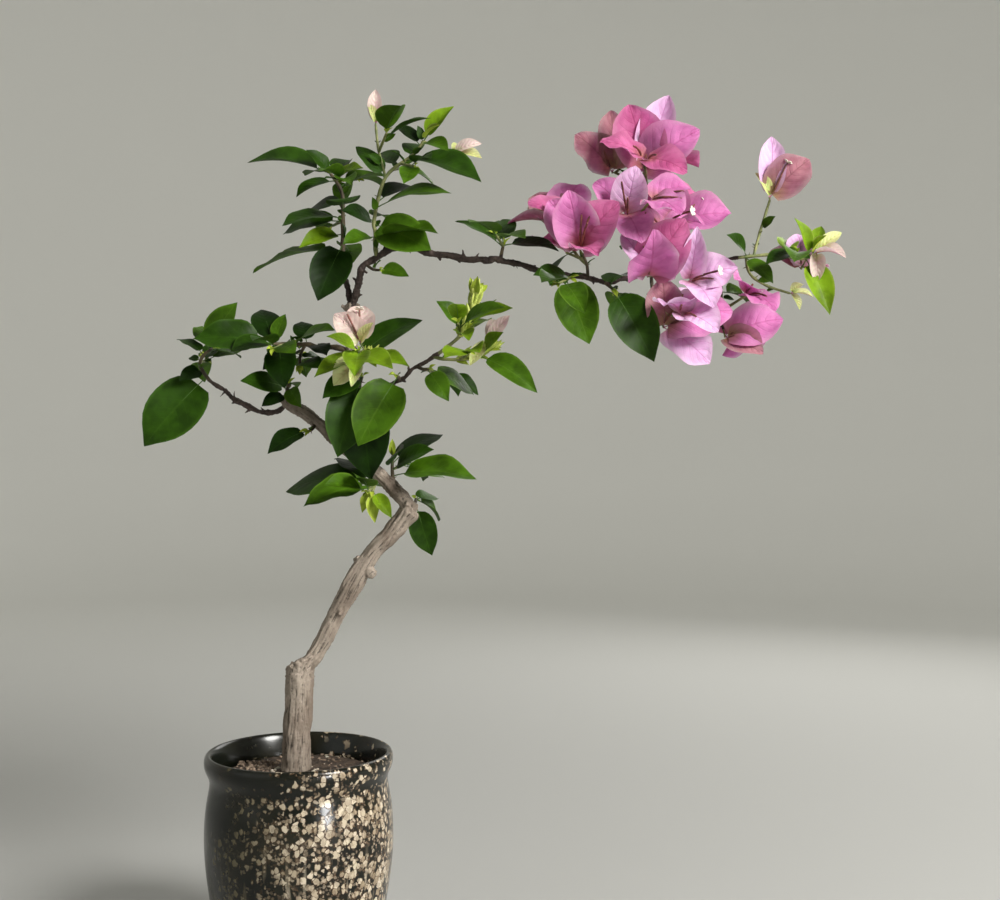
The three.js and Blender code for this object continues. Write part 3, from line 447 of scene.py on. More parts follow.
def blade_samples(blade):
    """Points spread over a blade, which stand for it when distances are tested."""
    kind = KINDS[blade["kind"]]
    length, axis, up, side = lie(blade)
    shares = np.array([0.25, 0.4, 0.55, 0.7, 0.85, 1.0])
    half = kind["wide"] / 2 * length * outline(np.minimum(shares, 0.999), kind["widest"])
    centre = (blade["base"] + np.outer(shares * length, axis)
              + np.outer(4 * kind["bow"] * length * shares * (1 - shares), up))
    across = half[:, None] * np.array([-1, -0.5, 0, 0.5, 1])
    return (centre[:, None, :] + across[..., None] * side).reshape(-1, 3)


def leads_of(shoot):
    return [new_blade(along(shoot["route"], share), tip, facing, kind, *tint)
            for kind, share, tip, facing, *tint in shoot.get("leads", ())]


def bracts_of(blossom):
    _, heart, *bracts = blossom
    return [new_blade(heart, tip, facing, kind[0] if kind else "bract", tint)
            for tint, tip, facing, *kind in bracts]


def blades_of(mass):
    blades = []
    for shoot in mass["shoots"]:
        blades += leads_of(shoot)
        for blossom in shoot.get("blossoms", []):
            blades += bracts_of(blossom)
    return blades


def samples_of(mass):
    return np.vstack([blade_samples(blade) for blade in blades_of(mass)])


def shoot_points(mass):
    return [along(shoot["route"], np.arange(13) / 12) for shoot in mass["shoots"]]


def space_of(mass):
    """The box that a mass keeps to: the extent of its shoots and leads, and the growth's depth."""
    places = [place for shoot in mass["shoots"] for place in shoot["route"]]
    places = np.array(places + [blade["tip"] for blade in blades_of(mass)], float)
    low = places.min(0) - GROWTH["margin"]
    high = places.max(0) + GROWTH["margin"]
    middle = mass["shoots"][0]["route"][-1][1]
    low[1] = min(low[1], middle - GROWTH["depth"])
    high[1] = max(high[1], middle + GROWTH["depth"])
    return low, high


SHARES = np.arange(41) / 40
LIMB_PLACES = np.vstack([along(limb["route"], SHARES) for limb in LIMBS.values()])
LIMB_RADII = np.concatenate([limb_radius(limb, SHARES) for limb in LIMBS.values()])


def gaps(points, others):
    return np.linalg.norm(np.asarray(points)[:, None, :] - np.asarray(others)[None, :, :], axis=2)


def inside(points, space):
    return bool(np.all((points >= space[0]) & (points <= space[1])))


def touches(points, others, reach):
    return len(others) > 0 and bool(np.any(gaps(points, others) < reach))


def touches_limb(points):
    return bool(np.any(gaps(points, LIMB_PLACES) < LIMB_RADII + GROWTH["limb"]))


def strays(points, front, reach):
    """Whether a point shows further than reach beyond the outline, seen from the front."""
    return bool(np.any(gaps(points[:, [0, 2]], front[:, [0, 2]]).min(1) > reach))


def grow_twigs(mass, space, foreign, draw):
    """Side twigs with leaves, or with bracts in a flowering mass. What would leave the space, show
    beyond the leads, or come near a limb or another mass, is skipped."""
    rule, grown = GROWTH, []
    own = samples_of(mass)
    front = np.vstack([own] + shoot_points(mass))
    bloom = mass.get("bloom", False)
    kind = "bract" if bloom else "leaf"
    shoots = mass["shoots"]
    for i in range(mass["twigs"]):
        shoot = shoots[i % len(shoots)]
        for _ in range(rule["tries"]):
            foot = along(shoot["route"], mix(rule["start"], 1, draw()))
            back = 0 if draw() < rule["backward"] else 180
            turn = back + mix(-rule["fan"], rule["fan"], draw())
            rise = mix(*rule["rise"], draw())
            end = foot + direction(turn, rise) * mix(*rule["twig"], draw())
            leaves = []
            for j in range(rule["leaves"]):
                place = mix(rule["axil"], 1, j / (rule["leaves"] - 1))
                base = mix(foot, end, 1 if bloom else place)
                aside = mix(*rule["swing"], draw()) * (rule["spread"] if bloom else 1)
                lift = rise * rule["slope"] + mix(*rule["lift"], draw())
                way = direction(turn + (j - 1) * aside, lift)
                tip = base + way * mix(*rule[kind], draw())
                leaf = new_blade(base, tip, mix(*rule["facing"], draw()), kind)
                points = blade_samples(leaf)
                if (inside(points, space) and not touches_limb(points)
                        and not strays(points, front, rule["stray"])
                        and not touches(points, own, rule["inner"])
                        and not touches(points, foreign, rule["clear"])):
                    leaves.append((leaf, points))
            if (len(leaves) >= rule["fewest"] and inside(end, space)
                    and not touches([end], foreign, rule["clear"])):
                own = np.vstack([own] + [points for _, points in leaves])
                grown.append(dict(foot=foot, end=end, leaves=[leaf for leaf, _ in leaves],
                                  points=np.vstack([points for _, points in leaves])))
                break
    return grown


def grow_plant():
    """Every mass's side twigs, by name, and the points that the whole crown fills."""
    crown = {name: np.vstack([samples_of(mass)] + shoot_points(mass))
             for name, mass in MASSES.items()}
    draw = stream(GROWTH["seed"])
    twigs = {}
    for name, mass in MASSES.items():
        foreign = np.vstack([points for other, points in crown.items() if other != name])
        twigs[name] = grow_twigs(mass, space_of(mass), foreign, draw)
        crown[name] = np.vstack([crown[name]] + [twig["points"] for twig in twigs[name]])
    return twigs, np.vstack(list(crown.values()))


# ---------------------------------------------------------------- heaps of small shapes
class Heap:
    """The vertices and faces of many small shapes that are joined in one piece."""

    def __init__(self):
        self.points, self.faces, self.uvs, self.looks, self.masses = [], [], [], [], []
        self.count = 0

    def add(self, points, faces, uvs=None, look=0, mass=None):
        """look is the place of the faces' material in the piece's list, one for each or for all."""
        points = np.asarray(points, float)
        self.points.append(points)
        self.faces += [tuple(self.count + i for i in face) for face in faces]
        self.uvs.append(np.zeros((len(points), 2)) if uvs is None else np.asarray(uvs, float))
        self.looks += [look] * len(faces) if np.isscalar(look) else list(look)
        self.count += len(points)
        if mass and mass not in self.masses:
            self.masses.append(mass)

    def piece(self, name, materials, smooth_angle=60):
        """The heap as one object, smooth except at the rims of its blades."""
        mesh = bpy.data.meshes.new(name)
        mesh.from_pydata(np.vstack(self.points) * MM, [], self.faces)
        places = np.empty(len(mesh.loops), int)
        mesh.loops.foreach_get("vertex_index", places)
        mesh.uv_layers.new(name="along").data.foreach_set("uv", np.vstack(self.uvs)[places].ravel())
        mesh.polygons.foreach_set("material_index", self.looks)
        for material in materials:
            mesh.materials.append(material)
        made = bpy.data.objects.new(name, mesh)
        bpy.context.collection.objects.link(made)
        choose(made)
        bpy.ops.object.shade_smooth_by_angle(angle=math.radians(smooth_angle))
        return made


def choose(*objects):
    """Selects these objects alone, and makes the first one active."""
    bpy.ops.object.select_all(action="DESELECT")
    for thing in objects:
        thing.select_set(True)
    bpy.context.view_layer.objects.active = objects[0]


def settle(piece, slot, *nodes):
    """The piece rides on the plant and stands for these nodes; slot is not used."""
    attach(piece, "root")
    if nodes:
        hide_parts(*nodes)


def tube(route, radius, sides):
    """Points, faces and UVs of a tapering tube through the points of a route."""
    route = np.asarray(route, float)
    radius = np.broadcast_to(radius, len(route))
    ahead = np.gradient(route, axis=0)
    ahead /= np.linalg.norm(ahead, axis=1)[:, None]
    reference = np.eye(3)[np.argmin(np.abs(ahead).sum(0))]
    out = reference - ahead * (ahead @ reference)[:, None]
    out /= np.linalg.norm(out, axis=1)[:, None]
    over = np.cross(ahead, out)
    turn = (2 * np.pi * np.arange(sides) / sides)[None, :, None]
    around = np.cos(turn) * out[:, None, :] + np.sin(turn) * over[:, None, :]
    rings = route[:, None, :] + radius[:, None, None] * around
    count = len(route)
    faces = []
    for ring in range(count - 1):
        low, high = ring * sides, (ring + 1) * sides
        faces += [(low + i, low + (i + 1) % sides, high + (i + 1) % sides, high + i)
                  for i in range(sides)]
    faces += [tuple(range(sides))[::-1], tuple((count - 1) * sides + i for i in range(sides))]
    uvs = [(i / sides, ring / (count - 1)) for ring in range(count) for i in range(sides)]
    return rings.reshape(-1, 3), faces, uvs


# A blade has rows of points from its base to its tip; its base and its tip are single points.
ROWS, COLUMNS = 12, 6
LAST_ROW = ROWS - 1


def blade_faces():
    """Faces of a blade: the upper rows first, then the inner points of the lower ones."""
    width = COLUMNS + 1
    inner = COLUMNS - 1
    base, tip = 0, 1

    def upper(row, j):
        return 2 + (row - 1) * width + j

    def lower(row, j):
        if j in (0, COLUMNS):
            return upper(row, j)
        return 2 + LAST_ROW * width + (row - 1) * inner + j - 1

    faces, looks = [], []
    for point, look in ((upper, 0), (lower, 1)):
        made = [(base, point(1, j), point(1, j + 1)) for j in range(COLUMNS)]
        made += [(point(r, j), point(r + 1, j), point(r + 1, j + 1), point(r, j + 1))
                 for r in range(1, LAST_ROW) for j in range(COLUMNS)]
        made += [(point(LAST_ROW, j), tip, point(LAST_ROW, j + 1)) for j in range(COLUMNS)]
        faces += [face[:1] + face[:0:-1] for face in made] if look else made
        looks += [look] * len(made)
    return faces, looks


BLADE_FACES, BLADE_LOOKS = blade_faces()

# The living shapes: how a blade is folded at its midrib, cupped, waved and twisted, and its width
# along its length as share**rise * (1 - share)**fall, drawn in to a point near the tip.
FORMS = dict(
    leaf=dict(fold=(0.10, 0.34), cup=(-0.10, 0.22), wave=(0.02, 0.09), twist=18, rise=0.50,
              fall=0.80, point=0.42, thick=0.34, hollow=0.0),
    dark=dict(fold=(0.06, 0.26), cup=(-0.16, 0.14), wave=(0.02, 0.07), twist=14, rise=0.48,
              fall=0.76, point=0.42, thick=0.36, hollow=0.02),
    broad=dict(fold=(0.04, 0.26), cup=(-0.10, 0.12), wave=(0.01, 0.05), twist=8, rise=0.46,
               fall=0.70, point=0.45, thick=0.38, hollow=0.04),
    young=dict(fold=(0.15, 0.45), cup=(0.00, 0.35), wave=(0.02, 0.10), twist=22, rise=0.55,
               fall=0.95, point=0.25, thick=0.28, hollow=0.0),
    bract=dict(fold=(0.00, 0.10), cup=(0.10, 0.46), wave=(0.08, 0.19), twist=18, rise=0.42,
               fall=0.56, point=0.36, thick=0.22, hollow=0.10),
    bud=dict(fold=(0.10, 0.30), cup=(0.20, 0.55), wave=(0.03, 0.08), twist=16, rise=0.45,
             fall=0.62, point=0.36, thick=0.22, hollow=0.04),
)
TIP_REACH = 0.16  # the share of a blade over which its tip is drawn in


def blade_shape(blade, draw):
    """Points and UVs of one leaf or bract, its upper rows of points and the ways they look."""
    kind, form = KINDS[blade["kind"]], FORMS[blade["kind"]]
    length, axis, up, side = lie(blade)
    rows = np.linspace(0, 1, ROWS + 1)
    rows = mix(rows, (1 - np.cos(np.pi * rows)) / 2, 0.55)
    share = mix(kind["stalk"], 1, rows)
    centre = (blade["base"] + np.outer(share * length, axis)
              + np.outer(4 * kind["bow"] * length * share * (1 - share), up))
    width = rows ** form["rise"] * (1 - rows) ** form["fall"]
    width = width * (1 - form["point"] * np.exp(-((1 - rows) / TIP_REACH) ** 2))
    half = kind["wide"] / 2 * length * width / width.max()
    across = np.linspace(-1, 1, COLUMNS + 1)
    edge = np.abs(across)
    fold, cup, wave = (mix(*form[name], draw.random()) for name in ("fold", "cup", "wave"))
    twist = np.radians(form["twist"] * draw.uniform(-1, 1)) * rows
    phases = draw.uniform(0, 1, 2)
    pulse = draw.uniform(1.1, 2.2)
    left, right = (np.sin(2 * np.pi * (pulse * rows[:, None] + phase)) for phase in phases)
    ripple = np.where(across[None, :] < 0, left, right)
    between_ends = half[:, None] > 0
    lift = (half[:, None] * (fold * edge + cup * edge**2)
            + wave * half.max() * ripple * edge**1.6 * between_ends)
    turned = np.cos(twist)[:, None] * side + np.sin(twist)[:, None] * up
    over = np.cos(twist)[:, None] * up - np.sin(twist)[:, None] * side
    back = form["hollow"] * length * edge[None, :] ** 1.5 * (1 - rows[:, None]) ** 3 * between_ends
    top = (centre[:, None, :] + (across * half[:, None])[..., None] * turned[:, None, :]
           + lift[..., None] * over[:, None, :] - back[..., None] * axis)
    thick = form["thick"] * (1 - 0.6 * edge)
    under = top - thick[None, :, None] * over[:, None, :]
    points = np.vstack([top[0, :1], top[-1, :1], top[1:-1].reshape(-1, 3),
                        under[1:-1, 1:-1].reshape(-1, 3)])
    u = (across + 1) / 2
    uv = np.stack(np.meshgrid(u, rows[1:-1]), axis=-1)
    uvs = np.vstack([[(0.5, 0), (0.5, 1)], uv.reshape(-1, 2), uv[:, 1:-1].reshape(-1, 2)])
    return points, uvs, top, over


RIB_SINK, RIB_END = 0.22, 0.14  # how deep the midrib lies, and its radius near the tip


def add_blade(heap, blade, draw, mass, ribs=None, rib_radius=0.0):
    """Adds a blade, and its stalk and midrib to the ribs."""
    points, uvs, top, over = blade_shape(blade, draw)
    heap.add(points, BLADE_FACES, uvs, BLADE_LOOKS, mass)
    if ribs is not None:
        middle = top[:, COLUMNS // 2]
        stalk = blade["base"] + (middle[0] - blade["base"]) * np.array([[0], [0.5]])
        course = np.vstack([stalk, middle[:-2] - over[:-2] * RIB_SINK])
        radius = np.concatenate([[rib_radius * 1.15, rib_radius],
                                 np.linspace(rib_radius * 0.9, RIB_END, ROWS - 1)])
        ribs.add(*tube(course, radius, 5), mass=mass)
    return top, over


STAR_RADIUS = 3.2
OPEN_FLOWERS = 0.13  # the share of the flowers that are open


def add_star(heap, middle, facing, radius, mass):
    """An open flower: a ring of five blunt lobes, thin and a little cupped."""
    side = square_to(facing, unit(np.array([0.3, 0.2, 0.9])))
    other = np.cross(facing, side)
    lobes = 5
    count = lobes * 4
    points = [middle - facing * 0.5, middle + facing * 0.2]
    for lower in (0.0, 0.35):
        for i in range(count):
            turn = 2 * np.pi * i / count
            reach = radius * (0.62, 0.95, 1.0, 0.95)[i % 4]
            rise = 0.25 * radius * (0.4 if i % 4 == 0 else 1) - lower
            out = side * math.cos(turn) + other * math.sin(turn)
            points.append(middle + out * reach + facing * rise)
    ring = [(2 + i, 2 + (i + 1) % count) for i in range(count)]
    faces = [(1, this, then) for this, then in ring]
    faces += [(0, then + count, this + count) for this, then in ring]
    faces += [(this, this + count, then + count, then) for this, then in ring]
    heap.add(points, faces, look=0, mass=mass)


def add_flower(heaps, blade, top, over, middle_way, draw, mass):
    """The slender flower that stands by a bract: a tube with a bud or an open star at its end."""
    row = 1
    foot = top[row, COLUMNS // 2]
    length, axis, _, _ = lie(blade)
    lean = draw.uniform(0.35, 0.75)
    ahead = unit(mix(axis, middle_way, lean) + over[row] * 0.12)
    reach = min(draw.uniform(17, 22), 0.72 * length)
    sway = np.cross(ahead, over[row]) * draw.uniform(-0.12, 0.12)
    steps = np.array([0, 0.12, 0.35, 0.62, 0.86, 1.0])
    course = (foot + over[row] * 0.8 + np.outer(steps * reach, unit(ahead + sway))
              + np.outer(0.06 * reach * np.sin(np.pi * steps), over[row]))
    radius = np.array([0.42, 0.68, 0.78, 0.58, 0.72, 0.50])
    heaps["flower_tubes"].add(*tube(course, radius, 7), mass=mass)
    if draw.random() < OPEN_FLOWERS:
        facing = unit(course[-1] - course[-2])
        add_star(heaps["open_stars"], course[-1] + facing * 0.4, facing, STAR_RADIUS, mass)


def node_course(route, foot, tip, steps, knots):
    """Places and radii of a twig that swells at its nodes."""
    share = np.linspace(0, 1, steps + 1)
    radius = mix(foot, tip, share)
    for place in knots:
        radius = radius * (1 + 0.28 * np.exp(-((share - place) / 0.045) ** 2))
    return along(route, share), radius


THORN_RADIUS = 0.55


def add_thorn(heap, foot, ahead, turn, length, mass):
    """A thorn with a bent point, which stands on a twig at a slant."""
    out = square_to(ahead, np.array([math.cos(turn), math.sin(turn), 0.35]))
    steps = np.array([0, 0.3, 0.65, 1.0])
    course = (foot + np.outer(steps * length, unit(out + 0.35 * ahead))
              - np.outer(0.18 * length * steps**2, ahead))
    heap.add(*tube(course, THORN_RADIUS * np.array([1, 0.75, 0.45, 0.08]), 5), mass=mass)


def length_of(route):
    return float(np.linalg.norm(np.diff(along(route, np.linspace(0, 1, 21)), axis=0), axis=1).sum())


SOFT_MASSES = ("low_left", "centre_spray", "right_tuft", "right_blossom", "crown_right",
               "tip_spray")


SHOOT_NODES = dict(first=9, spacing=11, last=3)  # from the foot, apart, and clear of the tip
TWIG_STEP = 2.5


def add_shoot(heaps, shoot, mass, draw):
    """A shoot with its nodes and thorns; the soft ones are green, the others brown."""
    route = shoot["route"]
    length = length_of(route)
    nodes = SHOOT_NODES
    knots = np.arange(nodes["first"], length - nodes["last"], nodes["spacing"]) / length
    steps = max(6, int(length / TWIG_STEP))
    woody = shoot["foot"] > 1.0 and mass not in SOFT_MASSES
    heap = heaps["brown_twigs" if woody else "green_twigs"]
    heap.add(*tube(*node_course(route, shoot["foot"], shoot["tip"], steps, knots), 8), mass=mass)
    turn = draw.uniform(0, 6)
    for share in knots:
        turn += 2.4
        size = draw.uniform(2.2, 4.2)
        add_thorn(heap, along(route, share), heading(route, share), turn, size, mass)


def add_tip_leaves(heaps, end, ahead, draw, mass, space, sizes=(4, 8), count=3):
    """The unopened leaves round a growing tip."""
    turn = draw.uniform(0, 2 * np.pi)
    side = square_to(ahead, np.array([0.2, -0.7, 0.6]))
    other = np.cross(ahead, side)
    for _ in range(count):
        turn += 2.3
        out = side * math.cos(turn) + other * math.sin(turn)
        tip = end + unit(ahead + out * draw.uniform(0.25, 0.7)) * draw.uniform(*sizes)
        if inside(tip, space):
            leaf = new_blade(end - ahead * 0.4, tip, draw.uniform(10, 70), "young")
            add_blade(heaps["leaves_young"], leaf, draw, mass)


# ---------------------------------------------------------------- the crown
# The dark leaf tint is painted shade, for leaves that lie in the shade of the crown.
LEAF_TINTS = ("dark", "deep", "mid", "light", "young")
BRACT_TINTS = ("pink", "rose", "pale", "dusky", "cream", "blush")


def blade_size(blade):
    return float(np.linalg.norm(blade["tip"] - blade["base"]))


GROWN_LEAF = 22  # a young leaf longer than this has turned green
RIB_RADII = dict(least=0.16, each_mm=0.007, most=0.4)


def leaf_tint(blade, draw, fresh):
    """Which of the leaf colours a blade takes: its own, or one that its kind mostly has. Fresh
    growth is a shade lighter."""
    chance = draw.random()
    if blade["tint"] in LEAF_TINTS and blade["tint"] != blade["kind"]:
        return blade["tint"]
    if blade["kind"] == "young":
        return "light" if blade_size(blade) > GROWN_LEAF else "young"
    if fresh:
        return "mid" if chance < 0.15 else "light"
    # Painted shade: a blade of the dark kind often takes the dark tint.
    if blade["kind"] == "dark":
        return "dark" if chance < 0.45 else "deep"
    if blade["kind"] == "broad":
        return "deep" if chance < 0.5 else "mid"
    return "deep" if chance < 0.35 else "mid"


def add_buds(heap, place, ahead, draw, mass, space, count):
    """A bundle of slender closed buds."""
    for _ in range(count):
        aside = direction(draw.uniform(0, 360), draw.uniform(-20, 40))
        way = unit(ahead + 0.5 * aside + (0, 0, 0.35))
        foot = place + direction(draw.uniform(0, 360), 0) * draw.uniform(0, 2.2)
        length = draw.uniform(7, 13)
        bend = direction(draw.uniform(0, 360), 0) * draw.uniform(0.3, 1.6)
        steps = np.array([0, 0.25, 0.5, 0.75, 1.0])
        if inside(foot + way * length, space):
            course = foot + np.outer(steps * length, way) + np.outer(steps * (1 - steps) * 2, bend)
            radius = draw.uniform(1.0, 1.5) * np.array([0.35, 0.6, 0.95, 0.7, 0.1])
            heap.add(*tube(course, radius, 6), mass=mass)


def add_leaf(heaps, leaf, draw, mass):
    tint = leaf_tint(leaf, draw, MASSES[mass].get("fresh"))
    rib = min(RIB_RADII["most"], RIB_RADII["least"] + blade_size(leaf) * RIB_RADII["each_mm"])
    add_blade(heaps["leaves_" + tint], leaf, draw, mass, heaps["leaf_ribs"], rib)


BRACT_RIB = 0.34


def add_bracts(heaps, bracts, draw, mass):
    """A blossom's bracts, each with its own flower unless it is a bud."""
    middle_way = unit(sum(lie(bract)[1] for bract in bracts))
    for bract in bracts:
        top, over = add_blade(heaps["bracts_" + bract["tint"]], bract, draw, mass,
                              heaps["bract_ribs"], BRACT_RIB)
        if bract["kind"] == "bract" and bract["tint"] != "cream":
            add_flower(heaps, bract, top, over, middle_way, draw, mass)


def add_blossom(heaps, shoot, blossom, draw, mass):
    """Three bracts round their flowers, on a thin stalk that grows on from the shoot."""
    share, heart, *_ = blossom
    foot, heart = along(shoot["route"], share), np.array(heart, float)
    if np.linalg.norm(heart - foot) > 0.4:
        steps = np.linspace(0, 1, 5)[:, None]
        stalk = tube(mix(foot, heart, steps), (0.75, 0.55, 0.5, 0.6, 0.9), 6)
        heaps["green_twigs"].add(*stalk, mass=mass)
    add_bracts(heaps, bracts_of(blossom), draw, mass)


AXIL_SPACING = 13.0
AXIL_CLEARANCE = 2.2
FAN_ANGLE = 137.5  # each next leaf or spur is turned by this much round the wood


def add_axil_leaves(heaps, route, taken, space, draw, mass):
    """Small leaves in the axils along a twig, where there is room for them."""
    length = length_of(route)
    turn = draw.uniform(0, 360)
    tints = ("deep", "mid", "mid", "light" if MASSES[mass].get("fresh") else "deep")
    for place in np.arange(AXIL_SPACING * 0.7, length, AXIL_SPACING):
        turn += FAN_ANGLE
        share = place / length
        foot = along(route, share)
        way = unit(direction(turn, draw.uniform(-5, 50)) + 0.5 * heading(route, share))
        leaf = new_blade(foot, foot + way * draw.uniform(6, 13), draw.uniform(10, 70), "leaf",
                         tints[draw.integers(4)])
        points = blade_samples(leaf)
        outer = points[10:]
        if (inside(points, space) and not touches_limb(outer)
                and not touches(outer, taken, AXIL_CLEARANCE)):
            add_leaf(heaps, leaf, draw, mass)
            taken = np.vstack([taken, points])
    return taken


BUD_CLUSTERS = dict(places=(0.76, 0.88, 1.0), buds=14)
LATE_CLUSTERS = dict(places=(0.46, 0.60, 0.72, 0.96), buds=9, leaves=2)


def dress_tip(heaps, shoot, draw, late, mass, space):
    """Unopened leaves at the end of a shoot. A fresh shoot has buds and small leaves along it."""
    def spot(share):
        return along(shoot["route"], share), heading(shoot["route"], share)

    if MASSES[mass].get("fresh"):
        for share in BUD_CLUSTERS["places"]:
            add_buds(heaps["leaf_buds"], *spot(share), draw, mass, space, BUD_CLUSTERS["buds"])
        for share in LATE_CLUSTERS["places"]:
            add_buds(heaps["leaf_buds"], *spot(share), late, mass, space, LATE_CLUSTERS["buds"])
            add_tip_leaves(heaps, *spot(share), late, mass, space, (6, 12),
                           LATE_CLUSTERS["leaves"])
        add_tip_leaves(heaps, *spot(1), draw, mass, space, (5, 13), 5)
    elif not shoot.get("blossoms"):
        add_tip_leaves(heaps, *spot(1), draw, mass, space)


def build_crown():
    """All that grows on the limbs, as heaps by the name of their piece."""
    names = ["leaves_" + tint for tint in LEAF_TINTS] + ["bracts_" + tint for tint in BRACT_TINTS]
    names += ["leaf_ribs", "bract_ribs", "brown_twigs", "green_twigs", "leaf_buds", "flower_tubes",
              "open_stars"]
    heaps = {name: Heap() for name in names}
    draw = np.random.default_rng(GROWTH["seed"])
    late = np.random.default_rng(GROWTH["seed"] + 1)
    twigs, taken = grow_plant()
    for name, mass in MASSES.items():
        space = space_of(mass)
        for shoot in mass["shoots"]:
            add_shoot(heaps, shoot, name, draw)
            for leaf in leads_of(shoot):
                add_leaf(heaps, leaf, draw, name)
            for blossom in shoot.get("blossoms", []):
                add_blossom(heaps, shoot, blossom, draw, name)
            dress_tip(heaps, shoot, draw, late, name, space)
            taken = add_axil_leaves(heaps, shoot["route"], taken, space, draw, name)
        for twig in twigs[name]:
            route = [twig["foot"], mix(twig["foot"], twig["end"], 0.5), twig["end"]]
            add_shoot(heaps, dict(route=route, foot=1.0, tip=0.8), name, draw)
            if mass.get("bloom"):
                tint = bracts_of(mass["shoots"][0]["blossoms"][0])[-1]["tint"]
                add_bracts(heaps, [dict(leaf, tint=tint) for leaf in twig["leaves"]], draw, name)
                continue
            for leaf in twig["leaves"]:
                add_leaf(heaps, leaf, draw, name)
            add_tip_leaves(heaps, twig["end"], unit(twig["end"] - twig["foot"]), draw, name, space)
            taken = add_axil_leaves(heaps, route, taken, space, draw, name)
    return heaps


# ---------------------------------------------------------------- wood
# Short stubs and spurs on the wood: foot, tip, radius at the foot and at the tip.
STUBS = dict(
    old_wood=[
        ((44, -6, 259.5), (49.3, -8.5, 253.6), 4.4, 3.1),
        ((43, -5, 261), (36.6, -6, 266), 4.6, 2.6), ((26, -5, 231.5), (28.6, -10.6, 230.3), 3, 2),
        ((70, -8, 299), (76, -9, 295.5), 6.4, 5.6), ((73, -9, 299), (71, -15, 302), 3.4, 2),
        ((-9, 9, 367), (-17, 10, 371.5), 3.9, 1.5), ((30, -1, 337), (24, -5, 343), 3.0, 1.8),
        ((35, 2, 425), (39, -2, 431), 2.4, 1.5), ((32, 4, 426), (27, 4, 431), 2.2, 1.2),
    ],
    boughs=[
        ((108, -21, 457.5), (107, -23, 463), 1.2, 0.5),
        ((66, -12, 466), (64, -14, 469.5), 1.6, 0.8),
        ((90, -18, 461), (93, -20, 456.5), 1.3, 0.6), ((-24, 12, 360), (-27, 9, 364), 1.1, 0.4),
        ((-34, 14, 363), (-38, 12, 360), 1.1, 0.4), ((-46, 16, 370), (-45, 13, 375.5), 1.1, 0.3),
        ((-14, 9.5, 363.5), (-19, 7, 359), 1.3, 0.5), ((-52, 17, 374.5), (-56, 19, 371), 0.9, 0.3),
        ((41, -4, 453), (45, -7, 450), 1.3, 0.7), ((140, -26.5, 454), (142, -29, 450), 0.9, 0.3),
    ],
)


def rod(name, places, radii):
    """A round rod along a curve, with a radius at each of its points."""
    curve = bpy.data.curves.new(name, "CURVE")
    curve.dimensions = "3D"
    curve.bevel_depth = MM
    curve.bevel_resolution = 4
    curve.use_fill_caps = True
    spline = curve.splines.new("POLY")
    spline.points.add(len(places) - 1)
    for point, place, radius in zip(spline.points, places, radii):
        point.co = (*(np.asarray(place) * MM), 1)
        point.radius = radius
    made = bpy.data.objects.new(name, curve)
    bpy.context.collection.objects.link(made)
    choose(made)
    bpy.ops.object.convert(target="MESH")
    return bpy.context.view_layer.objects.active


NODE_SPACING = 9.0
NODE_SWELL, ZIGZAG = 0.22, 1.3  # how much young wood thickens at a node, and strays between two


def spur_rods(route, radii):
    """Short pointed spurs at the nodes of young wood, each turned away from the last."""
    rods, turn = [], 0.0
    length = length_of(route)
    for number in range(1, int(length / NODE_SPACING)):
        share, turn = number * NODE_SPACING / length, turn + FAN_ANGLE
        ahead = heading(route, share)
        side = square_to(ahead, np.array([0.1, -0.4, 1.0]))
        angle = math.radians(turn)
        out = side * math.cos(angle) + np.cross(ahead, side) * math.sin(angle)
        foot, long = along(route, share), radii[0] + 1.0 + 1.1 * (number % 3)
        tip = foot + unit(out + 0.5 * ahead) * long
        rods.append(rod("spur", [foot, mix(foot, tip, 0.55), tip], [1.2, 0.9, 0.35]))
    return rods


def limb_rods(names):
    """Rods along limbs. Young wood zigzags a little, swells at its nodes and has spurs there."""
    shares = np.linspace(0, 1, 81)
    rods = []
    for name in names:
        limb = LIMBS[name]
        places, radii = along(limb["route"], shares), limb_radius(limb, shares)
        if name not in OLD_WOOD:
            rods += spur_rods(limb["route"], radii)
            reach = shares * length_of(limb["route"])
            side = square_to(heading(limb["route"], 0.5), np.array([0.1, -0.4, 1.0]))
            zigzag = np.abs((reach / NODE_SPACING + 0.5) % 2 - 1) - 0.5
            sway = zigzag * ZIGZAG * np.minimum(1, 5 * shares * (1 - shares))
            places = places + np.outer(sway, side)
            radii = radii * (1 + NODE_SWELL * np.cos(2 * np.pi * reach / NODE_SPACING) ** 7)
        end = heading(limb["route"], 1) * radii[-1] * 0.35
        rods.append(rod(name + "_rod", np.vstack([places, places[-1] + end]),
                        [*radii, radii[-1] * 0.75]))
    return rods


CUT_MIDDLE = (TRUNK["x"] + TRUNK["lean"], 0, (TRUNK["cut_low"] + TRUNK["cut_high"]) / 2)
CUT_SLOPE = (TRUNK["cut_high"] - TRUNK["cut_low"]) / (2 * TRUNK["radius"])


def rim_rods():
    """The lumpy callus round the saw cut of the trunk."""
    rods, reach = [], TRUNK["radius"] - 1.5
    for turn in range(80, 340, 26):
        way = direction(turn, 0)
        place = np.array(CUT_MIDDLE) - (0, 0, 1.4)
        place += way * reach + (0, 0, way[0] * reach * CUT_SLOPE)
        rods.append(rod("callus", [place - (0, 0, 2.5), place + way * 0.8, place + (0, 0, 1.5)],
                        [1.4, 2.3 + 0.4 * math.sin(turn), 1.2]))
    return rods


def stub_rods(stubs):
    """Rods for short stubs and spurs, rounded off at their tips."""
    rods = []
    for foot, tip, thick, thin in stubs:
        shares = np.array([0, 0.5, 0.9, 1.0])
        places = mix(np.array(foot, float), np.array(tip, float), shares[:, None])
        rods.append(rod("stub", places, mix(thick, thin, shares) * (1, 1, 1, 0.7)))
    return rods


TRUNK_HEIGHT = TRUNK["cut_low"] - TRUNK["foot"]


